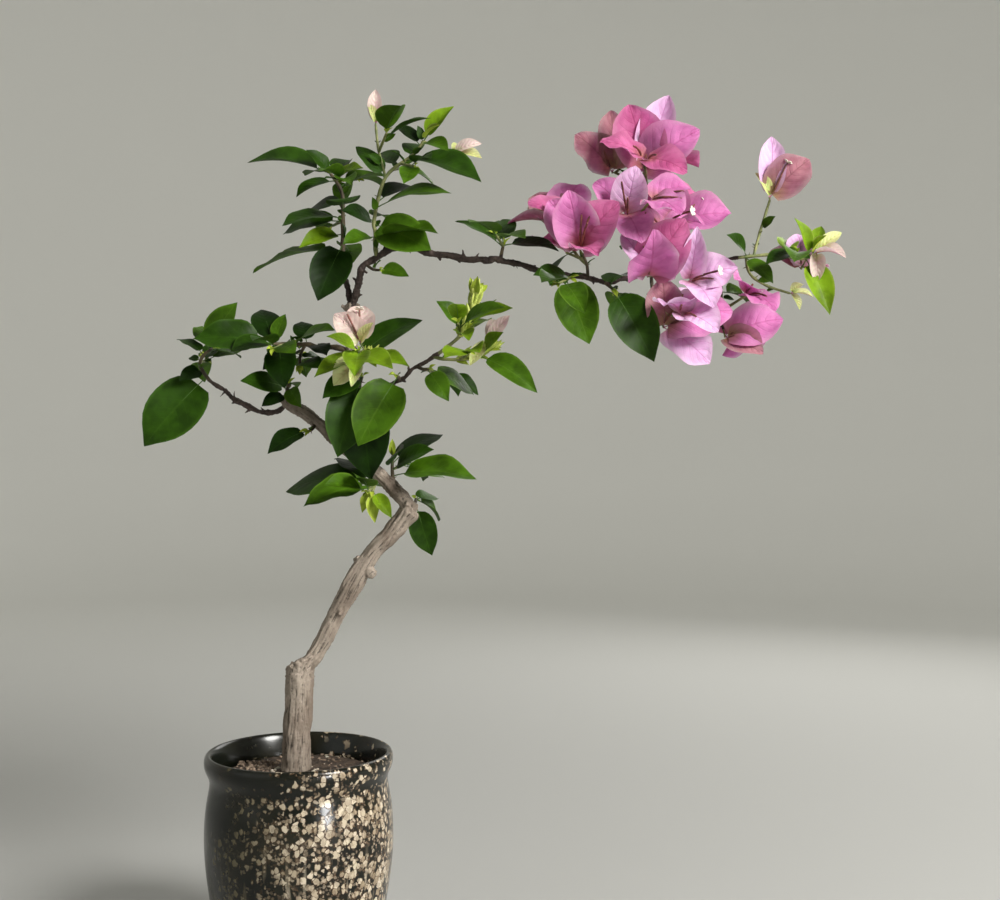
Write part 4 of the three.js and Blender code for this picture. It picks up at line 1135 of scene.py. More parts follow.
def trunk_middle(rise):
    """The middle of the leaning trunk, this high above its foot."""
    return np.array([TRUNK["x"] + TRUNK["lean"] * rise / TRUNK_HEIGHT, 0, TRUNK["foot"] + rise])


def trunk_rod():
    """The old trunk, from its flare at the soil to its slanting saw cut."""
    t = TRUNK
    rises = np.array([-4, 0, 2, 4, 7, 11, 16, 24, 34, 44, 54, 62, 70, 84])
    flare = np.clip(1 - rises / t["flare_height"], 0, 1) ** 2
    trunk = rod("trunk_rod", [trunk_middle(rise) for rise in rises],
                t["radius"] + (t["flare"] - t["radius"]) * flare)
    bpy.ops.object.mode_set(mode="EDIT")
    for place, normal in (((0, 0, t["foot"]), (0, 0, -1)), (CUT_MIDDLE, (-CUT_SLOPE, 0, 1))):
        bpy.ops.mesh.select_all(action="SELECT")
        bpy.ops.mesh.bisect(plane_co=[c * MM for c in place], plane_no=normal, use_fill=True,
                            clear_outer=True)
    bpy.ops.object.mode_set(mode="OBJECT")
    return trunk


def fuse(name, rods, voxel):
    """Rods joined in one skin, by a remesh with this size of voxel."""
    choose(*rods)
    bpy.ops.object.join()
    fused = bpy.context.view_layer.objects.active
    fused.name = fused.data.name = name
    remesh = fused.modifiers.new("skin", "REMESH")
    remesh.mode = "VOXEL"
    remesh.voxel_size = voxel * MM
    bpy.ops.object.modifier_apply(modifier=remesh.name)
    smooth = fused.modifiers.new("soften", "SMOOTH")
    smooth.factor, smooth.iterations = 0.5, 3
    bpy.ops.object.modifier_apply(modifier=smooth.name)
    bpy.ops.object.shade_smooth()
    return fused


COURSE_SHIFT = 37  # each next limb starts this much further on in the pattern of the bark


def courses_of(names):
    """Points down the middle of limbs: place, heading, distance from the foot and radius."""
    rows = []
    for number, name in enumerate(names):
        limb = LIMBS[name]
        length = length_of(limb["route"])
        for share in np.linspace(0, 1, 61):
            rows.append((along(limb["route"], share), heading(limb["route"], share),
                         share * length + COURSE_SHIFT * number, float(limb_radius(limb, share))))
    return rows


def bark_relief(piece, courses, ridge, pit, grain, lumps):
    """Furrows that run with the wood, small pits and a fine grain, moved into the skin. How deep
    each point lies is kept for the bark's colour: painted shade in the low places, painted light on
    the high ones."""
    tree = kdtree.KDTree(len(courses))
    for index, (place, *_) in enumerate(courses):
        tree.insert(place, index)
    tree.balance()
    mesh = piece.data
    count = len(mesh.vertices)
    places, normals = np.empty(count * 3), np.empty(count * 3)
    mesh.vertices.foreach_get("co", places)
    mesh.vertices.foreach_get("normal", normals)
    places, normals = places.reshape(-1, 3) / MM, normals.reshape(-1, 3)
    depths, swells = np.empty(count), np.empty(count)
    for index, place in enumerate(places):
        _, nearest, _ = tree.find(place)
        middle, ahead, reach, radius = courses[nearest]
        past = float(np.dot(place - middle, ahead))
        out = (place - middle - ahead * past) / radius
        step = reach + past
        across = Vector(out) * 2.6
        furrow = noise.noise(across + Vector(ahead) * step * 0.045 + Vector((3.1, reach * 0.02, 0)))
        fine = noise.noise(across * 3.1 + Vector(ahead) * step * 0.07)
        rough = noise.fractal(Vector(place) * 0.55, 0.8, 2.1, 3)
        near = noise.voronoi(Vector(place) * 0.2)[0][0]
        hole = max(0.0, 1 - near / 0.17)
        lump = noise.noise(Vector(place) * 0.11 + Vector((7, 2, 5)))
        depths[index] = (ridge * (abs(furrow) - 0.25 - 0.7 * abs(fine)) + grain * rough
                         - pit * hole ** 0.7)
        swells[index] = lumps * lump
    places += normals * (depths + swells)[:, None]
    mesh.vertices.foreach_set("co", (places * MM).ravel())
    low, high = np.percentile(depths, 2), np.percentile(depths, 98)
    spread = (depths - low) / (high - low)
    relief = mesh.attributes.new("relief", "FLOAT", "POINT")
    relief.data.foreach_set("value", np.clip(spread, 0, 1).astype(np.float32))
    mesh.update()


OLD_WOOD_VOXEL, BOUGH_VOXEL = 0.62, 0.40


def flatten_foot(piece, level):
    """The foot of the trunk stays level: its own points below this height are set on it."""
    for vertex in piece.data.vertices:
        if vertex.co.z < (level + 0.35) * MM:
            vertex.co.z = level * MM


def build_old_wood(material):
    rods = [trunk_rod()] + rim_rods() + limb_rods(OLD_WOOD) + stub_rods(STUBS["old_wood"])
    wood = fuse("trunk_and_stems", rods, OLD_WOOD_VOXEL)
    trunk = [(trunk_middle(rise), np.array([0.04, 0, 1]), rise, TRUNK["radius"])
             for rise in np.linspace(0, TRUNK_HEIGHT + 6, 30)]
    bark_relief(wood, trunk + courses_of(OLD_WOOD), ridge=1.15, pit=0.45, grain=0.22, lumps=1.0)
    flatten_foot(wood, TRUNK["foot"])
    wood.data.materials.append(material)
    return wood


def build_boughs(material):
    boughs = fuse("boughs", limb_rods(YOUNG_WOOD) + stub_rods(STUBS["boughs"]), BOUGH_VOXEL)
    bark_relief(boughs, courses_of(YOUNG_WOOD), ridge=0.34, pit=0.25, grain=0.20, lumps=0.5)
    boughs.data.materials.append(material)
    return boughs


# ---------------------------------------------------------------- pot and soil
# Radius and height round the outside, over the lip and down the inside.
POT_PROFILE = (
    (47, 0), (48.6, 0.9), (49.6, 3), (52.4, 15), (55.0, 29), (57.2, 44), (59.2, 58), (60.6, 72),
    (61.2, 86), (61.0, 97), (59.9, 107), (58.3, 115), (57.3, 120.5), (57.6, 124), (59.3, 127.6),
    (60.9, 131), (61.2, 134.5), (60.9, 137.6), (59.6, 139.6), (58.0, 139.9), (56.6, 138.8),
    (55.4, 136), (53.6, 130), (52.0, 124), (52.4, 112), (54.0, 94), (51.0, 60), (46.0, 30),
    (40.0, 10), (36, 8.4), (10, 8),
)
SOIL_PROFILE = (
    (38, 9), (48, 40), (52.5, 90), (51.0, 121), (50.6, 125.2), (46, 126.0), (38, 126.2),
    (30, 126.4), (22, 126.5), (15, 126.6), (9, 126.6), (4, 126.6),
)


def turned(name, profile, segments):
    """A round shell: a disc that is drawn up ring by ring along a profile of radius and height."""
    (start, level), *rest = profile
    bpy.ops.object.select_all(action="DESELECT")
    bpy.ops.mesh.primitive_circle_add(vertices=segments, radius=start * MM, fill_type="NGON",
                                      location=(0, 0, level * MM))
    shell = bpy.context.object
    shell.name = shell.data.name = name
    bpy.ops.object.transform_apply(location=True)
    bpy.ops.object.mode_set(mode="EDIT")
    bpy.ops.mesh.select_all(action="SELECT")
    for radius, height in rest:
        lift = (0, 0, (height - level) * MM)
        bpy.ops.mesh.extrude_region_move(TRANSFORM_OT_translate={"value": lift})
        bpy.ops.transform.resize(value=(radius / start, radius / start, 1),
                                 center_override=(0, 0, height * MM))
        start, level = radius, height
    bpy.ops.mesh.select_all(action="SELECT")
    bpy.ops.mesh.normals_make_consistent(inside=False)
    bpy.ops.object.mode_set(mode="OBJECT")
    return shell


def refine(piece):
    finer = piece.modifiers.new("finer", "SUBSURF")
    finer.levels = finer.render_levels = 1
    choose(piece)
    bpy.ops.object.modifier_apply(modifier=finer.name)
    bpy.ops.object.shade_smooth()


def points_of(piece):
    places = np.empty(len(piece.data.vertices) * 3)
    piece.data.vertices.foreach_get("co", places)
    return places.reshape(-1, 3) / MM


def set_points(piece, places):
    piece.data.vertices.foreach_set("co", (places * MM).ravel())
    piece.data.update()


def build_pot(material):
    pot = turned("glazed_pot", POT_PROFILE, 72)
    refine(pot)
    places = points_of(pot)
    outward = places * (1, 1, 0)
    outward /= np.maximum(np.linalg.norm(outward, axis=1), 1)[:, None]
    swell = np.array([noise.noise(Vector(place) * 0.035) for place in places])
    wall = (places[:, 2] > 2) & (places[:, 2] < 139)
    set_points(pot, places + outward * (0.45 * swell * wall)[:, None])
    pot.data.materials.append(material)
    return pot


def build_soil(material):
    soil = turned("potting_soil", SOIL_PROFILE, 96)
    refine(soil)
    places = points_of(soil)
    lumps = np.array([noise.fractal(Vector(place) * 0.24, 0.9, 2.0, 3) for place in places])
    top = places[:, 2] > 124.5
    away = np.clip((np.hypot(places[:, 0] - TRUNK["x"], places[:, 1]) - 11) / 6, 0, 1)
    edge = np.clip((51.0 - np.hypot(places[:, 0], places[:, 1])) / 3, 0, 1)
    places[:, 2] += top * away * edge * np.clip(lumps, -1, 1) * 1.1
    set_points(soil, places)
    soil.data.materials.append(material)
    return soil


def stone_shape():
    """Points and faces of a plain rounded stone with a radius of 1."""
    bpy.ops.object.select_all(action="DESELECT")
    bpy.ops.mesh.primitive_ico_sphere_add(subdivisions=2, radius=1)
    ball = bpy.context.object
    shape = np.array([vertex.co for vertex in ball.data.vertices])
    faces = [tuple(face.vertices) for face in ball.data.polygons]
    bpy.data.objects.remove(ball)
    return shape, faces


def add_stones(heap, shape, faces, places, size, flat, draw):
    """Stones of a range of sizes, each turned and knobbed in its own way."""
    for place in places:
        knobs = [noise.noise(Vector(point) * 1.3 + Vector(place)) for point in shape]
        bumps = 1 + 0.28 * np.array(knobs)
        squeeze = np.array([draw.uniform(0.7, 1.2), draw.uniform(0.6, 1.0),
                            flat * draw.uniform(0.8, 1.1)])
        stone = shape * bumps[:, None] * squeeze * draw.uniform(*size)
        turn = draw.uniform(0, 2 * np.pi)
        ahead, aside = math.cos(turn), math.sin(turn)
        spin = np.array([[ahead, -aside, 0], [aside, ahead, 0], [0, 0, 1]])
        heap.add(stone @ spin.T + place, faces)


def build_gravel(materials):
    """Pinkish grit, mostly to the left of the trunk, and pale crumbs at the trunk's foot."""
    shape, faces = stone_shape()
    draw = np.random.default_rng(29)
    top = SOIL_TOP - 0.3

    def on_top(x, y):
        return np.stack([x, y, np.full(len(x), top)], axis=1)

    def scattered(count):
        angle, reach = draw.uniform(0, 2 * np.pi, count), 47 * np.sqrt(draw.uniform(0.09, 1, count))
        return on_top(reach * np.cos(angle), reach * np.sin(angle))

    def by_the_trunk(count):
        angle, reach = draw.uniform(0, 2 * np.pi, count), 12.4 + draw.uniform(0, 2.2, count) ** 1.3
        return on_top(TRUNK["x"] + reach * np.cos(angle), reach * np.sin(angle))

    def left_side(count):
        return on_top(draw.uniform(-44, -16, count), draw.uniform(-22, 26, count))

    grit, crumbs = Heap(), Heap()
    for heap, count, places, sizes, flat in (
            (grit, 150, scattered, (0.5, 1.3), 0.7), (grit, 130, left_side, (0.7, 1.7), 0.7),
            (crumbs, 46, by_the_trunk, (0.5, 1.25), 0.8), (crumbs, 30, scattered, (0.4, 0.9), 0.8)):
        add_stones(heap, shape, faces, places(count), sizes, flat, draw)
    heaps = dict(grit=grit, crumbs=crumbs)
    return [heap.piece(name, [materials[name]], 80) for name, heap in heaps.items()]


# ---------------------------------------------------------------- materials
def fill(tree, socket, value):
    """Gives a node's input a plain value, or what another node puts out."""
    value = value.socket if isinstance(value, Number) else value
    if isinstance(value, bpy.types.NodeSocket):
        tree.links.new(value, socket)
    else:
        socket.default_value = value


def put(tree, kind, inputs=None, **settings):
    """Adds a node, sets it up, and fills its inputs with values or with other nodes' outputs."""
    made = tree.nodes.new(kind)
    for name, value in settings.items():
        setattr(made, name, value)
    for name, value in (inputs or {}).items():
        fill(tree, made.inputs[name], value)
    return made


class Number:
    """A number that a material works out for each place, reckoned with like a plain one."""

    def __init__(self, tree, socket):
        self.tree, self.socket = tree, socket

    def worked(self, operation, first, second=0.0):
        made = put(self.tree, "ShaderNodeMath", {0: first, 1: second}, operation=operation)
        return Number(self.tree, made.outputs[0])

    def __add__(self, other):
        return self.worked("ADD", self, other)

    def __sub__(self, other):
        return self.worked("SUBTRACT", self, other)

    def __rsub__(self, other):
        return self.worked("SUBTRACT", other, self)

    def __mul__(self, other):
        return self.worked("MULTIPLY", self, other)

    def __pow__(self, other):
        return self.worked("POWER", self, other)

    def __abs__(self):
        return self.worked("ABSOLUTE", self)

    def or_more(self, other):
        return self.worked("MAXIMUM", self, other)

    def fraction(self):
        return self.worked("FRACT", self)

    def clamped(self):
        self.socket.node.use_clamp = True
        return self


def ease(number, low, high):
    """0 below low, 1 above high, and smooth between them."""
    made = put(number.tree, "ShaderNodeMapRange",
               {"Value": number, "From Min": low, "From Max": high},
               interpolation_type="SMOOTHSTEP")
    return Number(number.tree, made.outputs["Result"])


def blend(share, first, second):
    """The first colour where share is 0, the second where it is 1."""
    made = put(share.tree, "ShaderNodeMix", {0: share}, data_type="RGBA", clamp_factor=True)
    for place, colour in ((6, first), (7, second)):
        fill(share.tree, made.inputs[place], (*colour, 1) if isinstance(colour, tuple) else colour)
    return made.outputs[2]


def object_place(tree):
    return put(tree, "ShaderNodeTexCoord").outputs["Object"]


def scaled(tree, place, sizes):
    """A place that is scaled along each axis."""
    return put(tree, "ShaderNodeVectorMath", {0: place, 1: sizes}, operation="MULTIPLY").outputs[0]


def length_from(tree, place):
    made = put(tree, "ShaderNodeVectorMath", {0: place}, operation="LENGTH")
    return Number(tree, made.outputs["Value"])


def parts_of(tree, place):
    """The X, Y and Z of a place."""
    made = put(tree, "ShaderNodeSeparateXYZ", {0: place})
    return [Number(tree, socket) for socket in made.outputs]


def clouds(tree, place, scale, detail, roughness=0.5):
    """Soft irregular patches."""
    return put(tree, "ShaderNodeTexNoise", {"Vector": place, "Scale": scale, "Detail": detail,
                                            "Roughness": roughness})


def blade_place(tree):
    """How far off its midrib a place on a blade lies, from 0 to 1, and how far along it."""
    across, reach, _ = parts_of(tree, put(tree, "ShaderNodeUVMap", uv_map="along").outputs[0])
    return abs(across - 0.5) * 2.0, reach


def new_group(name, **inputs):
    """A node group that takes these numbers, and the numbers themselves by name."""
    group = bpy.data.node_groups.new(name, "ShaderNodeTree")
    for label, value in inputs.items():
        socket = group.interface.new_socket(label, in_out="INPUT", socket_type="NodeSocketFloat")
        socket.default_value = value
    source = group.nodes.new("NodeGroupInput")
    return group, {label: Number(group, source.outputs[label]) for label in inputs}


def hand_out(group, **numbers):
    """Sets what a node group puts out, by name."""
    for label in numbers:
        group.interface.new_socket(label, in_out="OUTPUT", socket_type="NodeSocketFloat")
    result = group.nodes.new("NodeGroupOutput")
    for label, number in numbers.items():
        fill(group, result.inputs[label], number)
    return group


def grouped(tree, group, **inputs):
    """What a node group puts out for these inputs, by name."""
    made = put(tree, "ShaderNodeGroup", inputs, node_tree=group)
    return {socket.name: Number(tree, socket) for socket in made.outputs}


def mottle_group():
    """Soft patches and a fine grain, from the place on the plant."""
    group, given = new_group("mottle", Scale=60.0, Grain=400.0, Stretch=1.0)
    stretch = put(group, "ShaderNodeCombineXYZ", {"X": 1.0, "Y": 1.0, "Z": given["Stretch"]})
    drawn = scaled(group, object_place(group), stretch.outputs[0])
    patches, grain = (Number(group, clouds(group, drawn, given[size], detail, 0.6).outputs["Fac"])
                      for size, detail in (("Scale", 3.0), ("Grain", 2.0)))
    return hand_out(group, Patches=patches, Grain=grain)


def veins_group():
    """The midrib and the side veins of a blade: a mask and a height."""
    group, given = new_group("veins", Pairs=6.0, Bend=0.24)
    edge, reach = blade_place(group)
    course = (reach - edge**1.25 * given["Bend"]) * given["Pairs"]
    phase = abs((course + 10.0).fraction() - 0.5)
    fade = (1.0 - edge * 0.85).clamped()
    line = (ease(phase, 0.43, 0.5) * fade * 0.75).or_more(ease(edge, 0.07, 0.01))
    return hand_out(group, Line=line, Height=(0.5 - phase) * fade - line * 0.35)


def blotches_group():
    """Rounded blotches with darker borders and seams, as melted glaze leaves."""
    group, given = new_group("blotches", Scale=230.0, Share=0.5, Size=0.5)
    place = object_place(group)
    warp = clouds(group, place, 380.0, 3.0).outputs["Color"]
    shift = put(group, "ShaderNodeVectorMath", {0: warp, "Scale": 0.0034}, operation="SCALE")
    drawn = put(group, "ShaderNodeVectorMath", {0: place, 1: shift.outputs[0]}, operation="ADD")
    squat = scaled(group, drawn.outputs[0], (1.0, 1.0, 0.85))
    cell, rim = (put(group, "ShaderNodeTexVoronoi", {"Vector": squat, "Scale": given["Scale"]},
                     feature=feature) for feature in ("F1", "DISTANCE_TO_EDGE"))
    split = put(group, "ShaderNodeSeparateColor", {0: cell.outputs["Color"]})
    chance, tone, growth = (Number(group, socket) for socket in split.outputs)
    chosen = ease(given["Share"] - chance, -0.02, 0.04)
    within = given["Size"] * (growth * 0.5 + 0.6) - Number(group, cell.outputs["Distance"])
    whole = chosen * ease(Number(group, rim.outputs["Distance"]), 0.0, 0.07)
    return hand_out(group, Core=whole * ease(within, 0.04, 0.10),
                    Border=chosen * ease(within, -0.11, 0.02), Tone=tone)


def new_material(name, roughness, **constants):
    """A material, with the numbers that are the same all over set on its shader."""
    material = bpy.data.materials.new(name)
    material.use_nodes = True
    inputs = material.node_tree.nodes["Principled BSDF"].inputs
    inputs["Roughness"].default_value = roughness
    for label, value in constants.items():
        inputs[label.replace("_", " ")].default_value = value
    return material


def finish_material(material, colour, height=None, distance=0.0002, strength=0.5, roughness=None):
    """Gives the shader its colour, and relief and roughness where they vary."""
    tree = material.node_tree
    inputs = tree.nodes["Principled BSDF"].inputs
    fill(tree, inputs["Base Color"], colour)
    if height is not None:
        bump = put(tree, "ShaderNodeBump",
                   {"Height": height, "Distance": distance, "Strength": strength})
        fill(tree, inputs["Normal"], bump.outputs[0])
    if roughness is not None:
        fill(tree, inputs["Roughness"], roughness)
    return material


def leaf_material(name, colour, vein, roughness, groups, glow=0.0):
    """The green of a blade, with lighter veins, soft patches, puckers between the veins and a
    painted highlight along its edge.
    """
    material = new_material(name, roughness, Specular_IOR_Level=0.12, Subsurface_Weight=glow,
                            Subsurface_Scale=0.001, Subsurface_Radius=(0.6, 1.0, 0.25))
    tree = material.node_tree
    mottle = grouped(tree, groups["mottle"], Scale=70.0, Grain=900.0)
    veins = grouped(tree, groups["veins"], Pairs=7.0, Bend=0.26)
    darker, lighter = (tuple(c * share for c in colour) for share in (0.66, 1.36))
    body = blend(ease(mottle["Patches"], 0.32, 0.68), darker, lighter)
    veined = blend(veins["Line"] * 0.20, body, vein)
    edge, _ = blade_place(tree)
    # Painted highlight: the blade's edge is lightened towards the vein colour, as light catches the
    # margin.
    rimmed = blend(ease(edge, 0.84, 0.98) * 0.5, veined, vein)
    shine = ease(mottle["Patches"], -0.6, 2.2) * 0.2 + (roughness - 0.09)
    return finish_material(material, rimmed, veins["Height"] + mottle["Grain"] * 0.12,
                           0.00035, 0.45, shine)


def bract_material(name, colour, throat, vein, groups):
    """A papery bract: warmer at the throat, paler at its edge, with a net of darker veins."""
    material = new_material(name, 0.68, Specular_IOR_Level=0.25, Subsurface_Weight=0.35,
                            Subsurface_Scale=0.002, Subsurface_Radius=(1.0, 0.4, 0.7))
    tree = material.node_tree
    mottle = grouped(tree, groups["mottle"], Scale=55.0, Grain=1100.0)
    veins = grouped(tree, groups["veins"], Pairs=6.0, Bend=0.34)
    edge, reach = blade_place(tree)
    deeper = tuple(c * 0.74 for c in colour)
    paler = tuple(min(1, c * 1.12 + 0.05) for c in colour)
    body = blend(ease(mottle["Patches"], 0.3, 0.7), deeper, paler)
    rimmed = blend(ease(edge, 0.6, 1.0) * 0.55, body, paler)
    warmed = blend(ease(reach + edge * 0.22, 0.46, 0.04) * 0.85, rimmed, throat)
    return finish_material(material, blend(veins["Line"] * 0.34, warmed, vein),
                           veins["Height"] + mottle["Grain"] * 0.25, 0.0008, 0.7)


def plain_material(name, dark, light, roughness, groups, scale=90.0):
    """Two tones in patches with a fine grain: twigs, flowers, ribs and stones."""
    material = new_material(name, roughness)
    mottle = grouped(material.node_tree, groups["mottle"], Scale=scale, Grain=900.0)
    tone = mottle["Patches"] * 0.7 + mottle["Grain"] * 0.3
    return finish_material(material, blend(ease(tone, 0.38, 0.62), dark, light),
                           mottle["Grain"], 0.0003, 0.5)


def bark_material(name, deep, body, worn_and_lit, groups, roughness, patch):
    """Bark: painted shade in the furrows and pits, painted light on the highest ridges, and
    pale patches of wear along the wood in that same lit tone.
    """
    material = new_material(name, roughness)
    tree = material.node_tree
    mottle = grouped(tree, groups["mottle"], Scale=patch, Grain=1500.0, Stretch=0.35)
    attribute = put(tree, "ShaderNodeAttribute", attribute_name="relief")
    relief = Number(tree, attribute.outputs["Fac"])
    coarse = blend(ease(mottle["Patches"], 0.36, 0.66), body, worn_and_lit)
    # Painted shade: the dark shade tone is laid into the furrows and pits, where the relief is low.
    furrows_painted_shade = blend(ease(relief, 0.36, 0.0) * 0.85, coarse, deep)
    # Painted light: the pale lit tone is laid onto the highest ridges.
    raised = blend(ease(relief, 0.72, 1.0) * 0.45, furrows_painted_shade, worn_and_lit)
    speckled = blend(ease(mottle["Grain"], 0.56, 0.7) * 0.3, raised, deep)
    return finish_material(material, speckled, mottle["Grain"], 0.0004, 0.6)


def glaze_material(groups):
    """Near-black glossy glaze with cream blotches, crowded on the right and sparse on the left, and
    with painted shade that dims the blotches and seams on the left side.
    """
    material = new_material("speckled_glaze", 0.2, Specular_IOR_Level=0.34, Coat_Weight=0.1,
                            Coat_Roughness=0.08)
    tree = material.node_tree
    place = object_place(tree)
    x, _, z = parts_of(tree, place)
    drift, flow = (Number(tree, clouds(tree, place, scale, 2.0).outputs["Fac"])
                   for scale in (42.0, 30.0))
    # rightward rises from the pot's left to its right; it crowds the blotches there and also sets
    # the painted shade on the left.
    rightward = ease(x, -0.040, 0.026)
    merged = ease(flow, 0.5, 0.62) * rightward
    reach = length_from(tree, scaled(tree, place, (1.0, 1.0, 0.0)))
    on_lip = rightward * ease(reach, 0.0570, 0.0600) * 0.6 + 0.1
    crowd = rightward * 0.58 + drift * 1.5 - 0.50 + merged * 0.30
    crowd = crowd * ease(z, 0.130, 0.118).or_more(on_lip)
    large = grouped(tree, groups["blotches"], Scale=262.0, Share=crowd, Size=merged * 0.34 + 0.60)
    small = grouped(tree, groups["blotches"], Scale=460.0, Share=crowd * 0.85, Size=0.6)
    drawn = put(tree, "ShaderNodeMapping", {"Vector": place, "Scale": (1.0, 1.0, 0.05)})
    runs = Number(tree, clouds(tree, drawn.outputs[0], 260.0, 1.0).outputs["Fac"])
    run_mask = ease(runs, 0.62, 0.7) * ease(z, 0.1, 0.06)
    black = blend(ease(drift, 0.35, 0.7), (0.003, 0.004, 0.002), (0.010, 0.009, 0.004))
    # Painted shade: the seams' brown is darker on the left of the pot than on its lit right.
    brown = blend(rightward, (0.018, 0.014, 0.006), (0.085, 0.050, 0.028))
    pale = blend(large["Tone"], (0.30, 0.235, 0.155), (0.62, 0.54, 0.41))
    # Painted shade: the blotches are dim olive on the left of the pot and pale cream on its lit
    # right.
    blotch_colour_painted_shade = blend(rightward, (0.085, 0.072, 0.038), pale)
    seamed = blend(large["Border"] * 0.9, black, brown)
    spotted = blend(small["Core"] * small["Tone"], seamed, blotch_colour_painted_shade)
    blotched = blend(large["Core"], spotted, blotch_colour_painted_shade)
    stained = blend(small["Border"] * 0.35, blotched, brown)
    return finish_material(material, blend(run_mask * 0.4, stained, blotch_colour_painted_shade),
                           large["Border"] + small["Core"] * 0.5, 0.0003, 0.45)


def soil_material(groups):
    material = new_material("potting_soil", 0.95)
    tree = material.node_tree
    mottle = grouped(tree, groups["mottle"], Scale=110.0, Grain=600.0)
    crumbs = grouped(tree, groups["blotches"], Scale=520.0, Share=0.55, Size=0.6)
    body = blend(ease(mottle["Patches"], 0.35, 0.65), (0.02, 0.012, 0.007), (0.075, 0.048, 0.03))
    return finish_material(material, blend(crumbs["Core"] * 0.5, body, (0.13, 0.09, 0.06)),
                           crumbs["Core"] + mottle["Grain"], 0.0012, 0.8)


# Base colour, vein colour and roughness of each kind of leaf, and how far light goes into it.
LEAF_COLOURS = dict(
    # Painted shade: the dark tint is a darker copy of the deep green, for leaves in the shade of
    # the crown.
    dark=((0.006, 0.020, 0.001), (0.02, 0.06, 0.004), 0.46, 0.0),
    deep=((0.018, 0.052, 0.002), (0.05, 0.12, 0.010), 0.46, 0.0),
    mid=((0.040, 0.096, 0.003), (0.12, 0.22, 0.02), 0.48, 0.0),
    light=((0.125, 0.215, 0.006), (0.28, 0.40, 0.05), 0.5, 0.12),
    young=((0.340, 0.430, 0.045), (0.52, 0.60, 0.14), 0.55, 0.12),
)
# A leaf's underside is this much lighter, with this colour added, and duller.
UNDERSIDE = dict(gain=1.3, lift=(0.006, 0.009, 0.003), roughness=0.6)
# Base, throat and vein colour of each kind of bract.
BRACT_COLOURS = dict(
    pink=((0.56, 0.14, 0.37), (0.40, 0.16, 0.12), (0.40, 0.05, 0.20)),
    rose=((0.46, 0.075, 0.22), (0.30, 0.11, 0.07), (0.30, 0.025, 0.11)),
    pale=((0.72, 0.38, 0.66), (0.52, 0.24, 0.24), (0.50, 0.14, 0.38)),
    dusky=((0.28, 0.10, 0.12), (0.28, 0.19, 0.07), (0.16, 0.04, 0.06)),
    cream=((0.56, 0.56, 0.20), (0.30, 0.42, 0.06), (0.40, 0.42, 0.10)),
    blush=((0.76, 0.53, 0.49), (0.62, 0.62, 0.28), (0.66, 0.34, 0.36)),
)
# The dark and the light tone and the roughness of what has no veins, and the scale of its patches.
PLAIN_COLOURS = dict(
    leaf_ribs=((0.028, 0.085, 0.006), (0.08, 0.17, 0.025), 0.6),
    bract_ribs=((0.40, 0.09, 0.20), (0.58, 0.20, 0.36), 0.6),
    green_twigs=((0.10, 0.13, 0.035), (0.27, 0.28, 0.10), 0.55),
    brown_twigs=((0.035, 0.026, 0.014), (0.13, 0.10, 0.055), 0.7),
    leaf_buds=((0.26, 0.36, 0.03), (0.60, 0.66, 0.16), 0.5),
    flower_tubes=((0.09, 0.025, 0.02), (0.26, 0.09, 0.06), 0.55),
    open_stars=((0.80, 0.78, 0.62), (0.88, 0.87, 0.80), 0.6),
    grit=((0.11, 0.075, 0.05), (0.34, 0.25, 0.18), 0.85, 160.0),
    crumbs=((0.42, 0.36, 0.28), (0.66, 0.62, 0.52), 0.9, 200.0),
)
# The dark tone painted as shade in the furrows and pits, the body, the pale lit tone painted on the
# ridges and used for wear, the roughness, and the scale of the patches.
BARK_COLOURS = dict(
    old_bark=((0.040, 0.030, 0.021), (0.170, 0.130, 0.098), (0.335, 0.28, 0.225), 0.82, 75.0),
    young_bark=((0.008, 0.005, 0.005), (0.036, 0.023, 0.020), (0.095, 0.066, 0.055), 0.74, 130.0),
)


def build_materials():
    groups = dict(mottle=mottle_group(), veins=veins_group(), blotches=blotches_group())
    made = dict(glaze=glaze_material(groups), soil=soil_material(groups))
    for tint, (colour, vein, roughness, glow) in LEAF_COLOURS.items():
        below = tuple(c * UNDERSIDE["gain"] + lift for c, lift in zip(colour, UNDERSIDE["lift"]))
        made["leaves_" + tint] = leaf_material("leaf_" + tint, colour, vein, roughness, groups,
                                               glow)
        made["below_" + tint] = leaf_material("leaf_below_" + tint, below, vein,
                                              UNDERSIDE["roughness"], groups, glow)
    for tint, colours in BRACT_COLOURS.items():
        made["bracts_" + tint] = bract_material("bract_" + tint, *colours, groups)
    for name, (dark, light, roughness, *scale) in PLAIN_COLOURS.items():
        made[name] = plain_material(name, dark, light, roughness, groups, *scale)
    for name, (deep, body, worn_and_lit, *looks) in BARK_COLOURS.items():
        made[name] = bark_material(name, deep, body, worn_and_lit, groups, *looks)
    return made


# ---------------------------------------------------------------- stage, light and camera
def build_stage():
    """A floor that curves up into a pale round wall, far from the plant, with an open sky above.
    The floor is painted darker near the plant, as painted shade that evens out the lamps' light
    there.
    """
    bend = ((2200, 0), (2450, 40), (2640, 150), (2760, 330), (2800, 600), (2800, 2600))
    backdrop = turned("backdrop", bend, 96)
    bpy.ops.object.shade_smooth()
    material = new_material("floor_with_painted_shade", 0.9, Specular_IOR_Level=0.1)
    reach = length_from(material.node_tree, object_place(material.node_tree))
    # Painted shade: dark near the plant, where the lamps light the floor most, and pale out towards
    # the wall.
    finish_material(material, blend(ease(reach, 0.2, 2.3), (0.46, 0.46, 0.445), (0.84, 0.84, 0.81)))
    backdrop.data.materials.append(material)
    world = bpy.data.worlds.new("studio")
    world.use_nodes = True
    sky = world.node_tree.nodes["Background"].inputs
    sky["Color"].default_value = (0.95, 0.98, 1.0, 1)
    sky["Strength"].default_value = 0.84
    bpy.context.scene.world = world
    bpy.context.scene.view_settings.view_transform = "Standard"


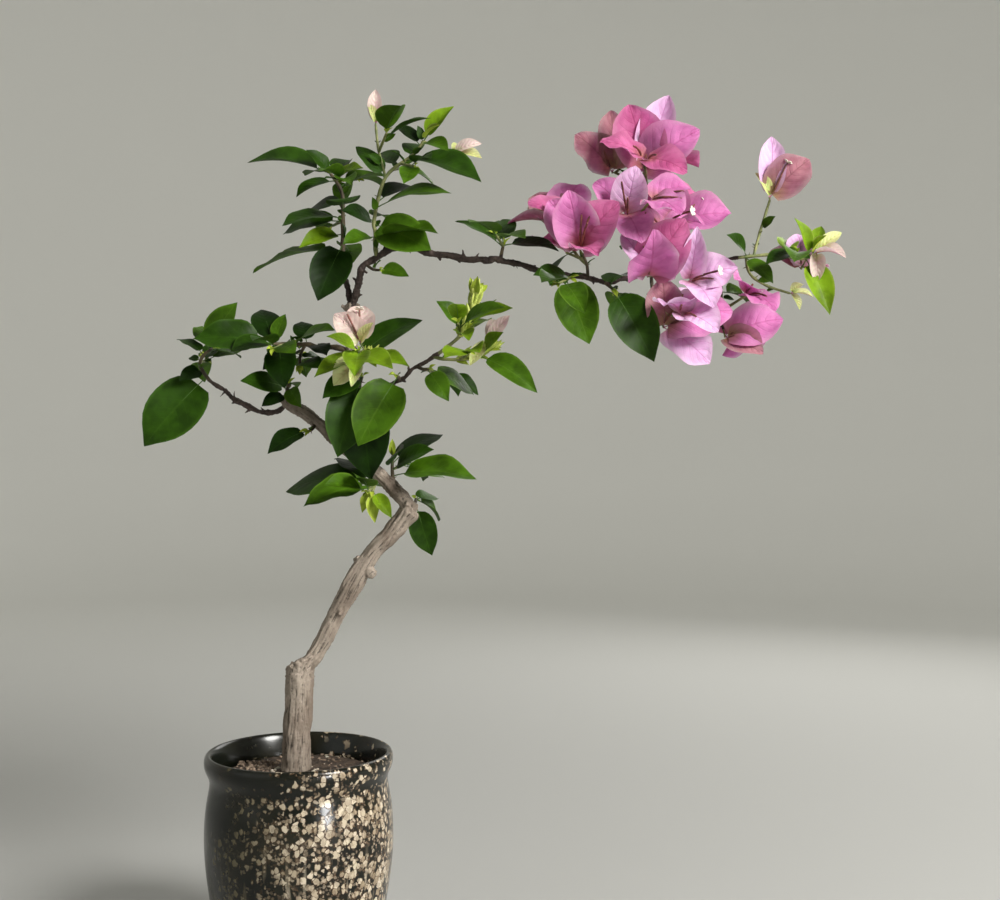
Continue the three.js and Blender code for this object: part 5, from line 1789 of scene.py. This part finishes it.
def add_light(name, place, target, size, watts, colour, spread=180):
    lamp = bpy.data.lights.new(name, "AREA")
    lamp.shape = "DISK"
    lamp.size, lamp.energy, lamp.color, lamp.spread = size, watts, colour, math.radians(spread)
    made = bpy.data.objects.new(name, lamp)
    made.location = place
    made.rotation_euler = (Vector(target) - Vector(place)).to_track_quat("-Z", "Y").to_euler()
    bpy.context.collection.objects.link(made)


def add_camera():
    """Level, in front of the plant, at the height of its lower leaves."""
    lens = bpy.data.cameras.new("view")
    lens.lens, lens.sensor_width = 47.52, 36
    camera = bpy.data.objects.new("view", lens)
    camera.location = (0.1308, -0.861, 0.3357)
    camera.rotation_euler = (math.radians(90), 0, 0)
    bpy.context.collection.objects.link(camera)
    bpy.context.scene.camera = camera


# ---------------------------------------------------------------- the plant
add_camera()
build_stage()
crown_middle = (0.09, 0, 0.36)
pot_side = (0.02, -0.05, 0.1)
add_light("window", (1.05, -0.85, 1.05), crown_middle, 0.55, 30, (1.0, 0.985, 0.95))
add_light("fill", (-1.3, -1.1, 0.8), crown_middle, 1.4, 1.5, (0.92, 0.96, 1.0))
add_light("pane", (0.92, -1.12, 0.2), pot_side, 0.3, 0.16, (1.0, 1.0, 1.0), 24)
add_light("back", (0.7, 1.2, 1.0), crown_middle, 0.9, 6, (1.0, 0.99, 0.97))

paint = build_materials()
settle(build_old_wood(paint["old_bark"]), "old_bark", "trunk_stub", *OLD_WOOD)
settle(build_boughs(paint["young_bark"]), "young_bark", *YOUNG_WOOD)
settle(build_pot(paint["glaze"]), "pot_glaze", "pot")
settle(build_soil(paint["soil"]), "soil", "soil")
for stones in build_gravel(paint):
    settle(stones, "soil")

for name, heap in build_crown().items():
    if not heap.count:
        continue
    kind, _, tint = name.partition("_")
    both_sides = [paint[name], paint["below_" + tint]] if kind == "leaves" else [paint[name]] * 2
    blades = kind in ("leaves", "bracts")
    piece = heap.piece(name, both_sides if blades else both_sides[:1])
    flowering = kind in ("bracts", "bract", "flower", "open")
    settle(piece, "blossom" if flowering else "foliage", *heap.masses)
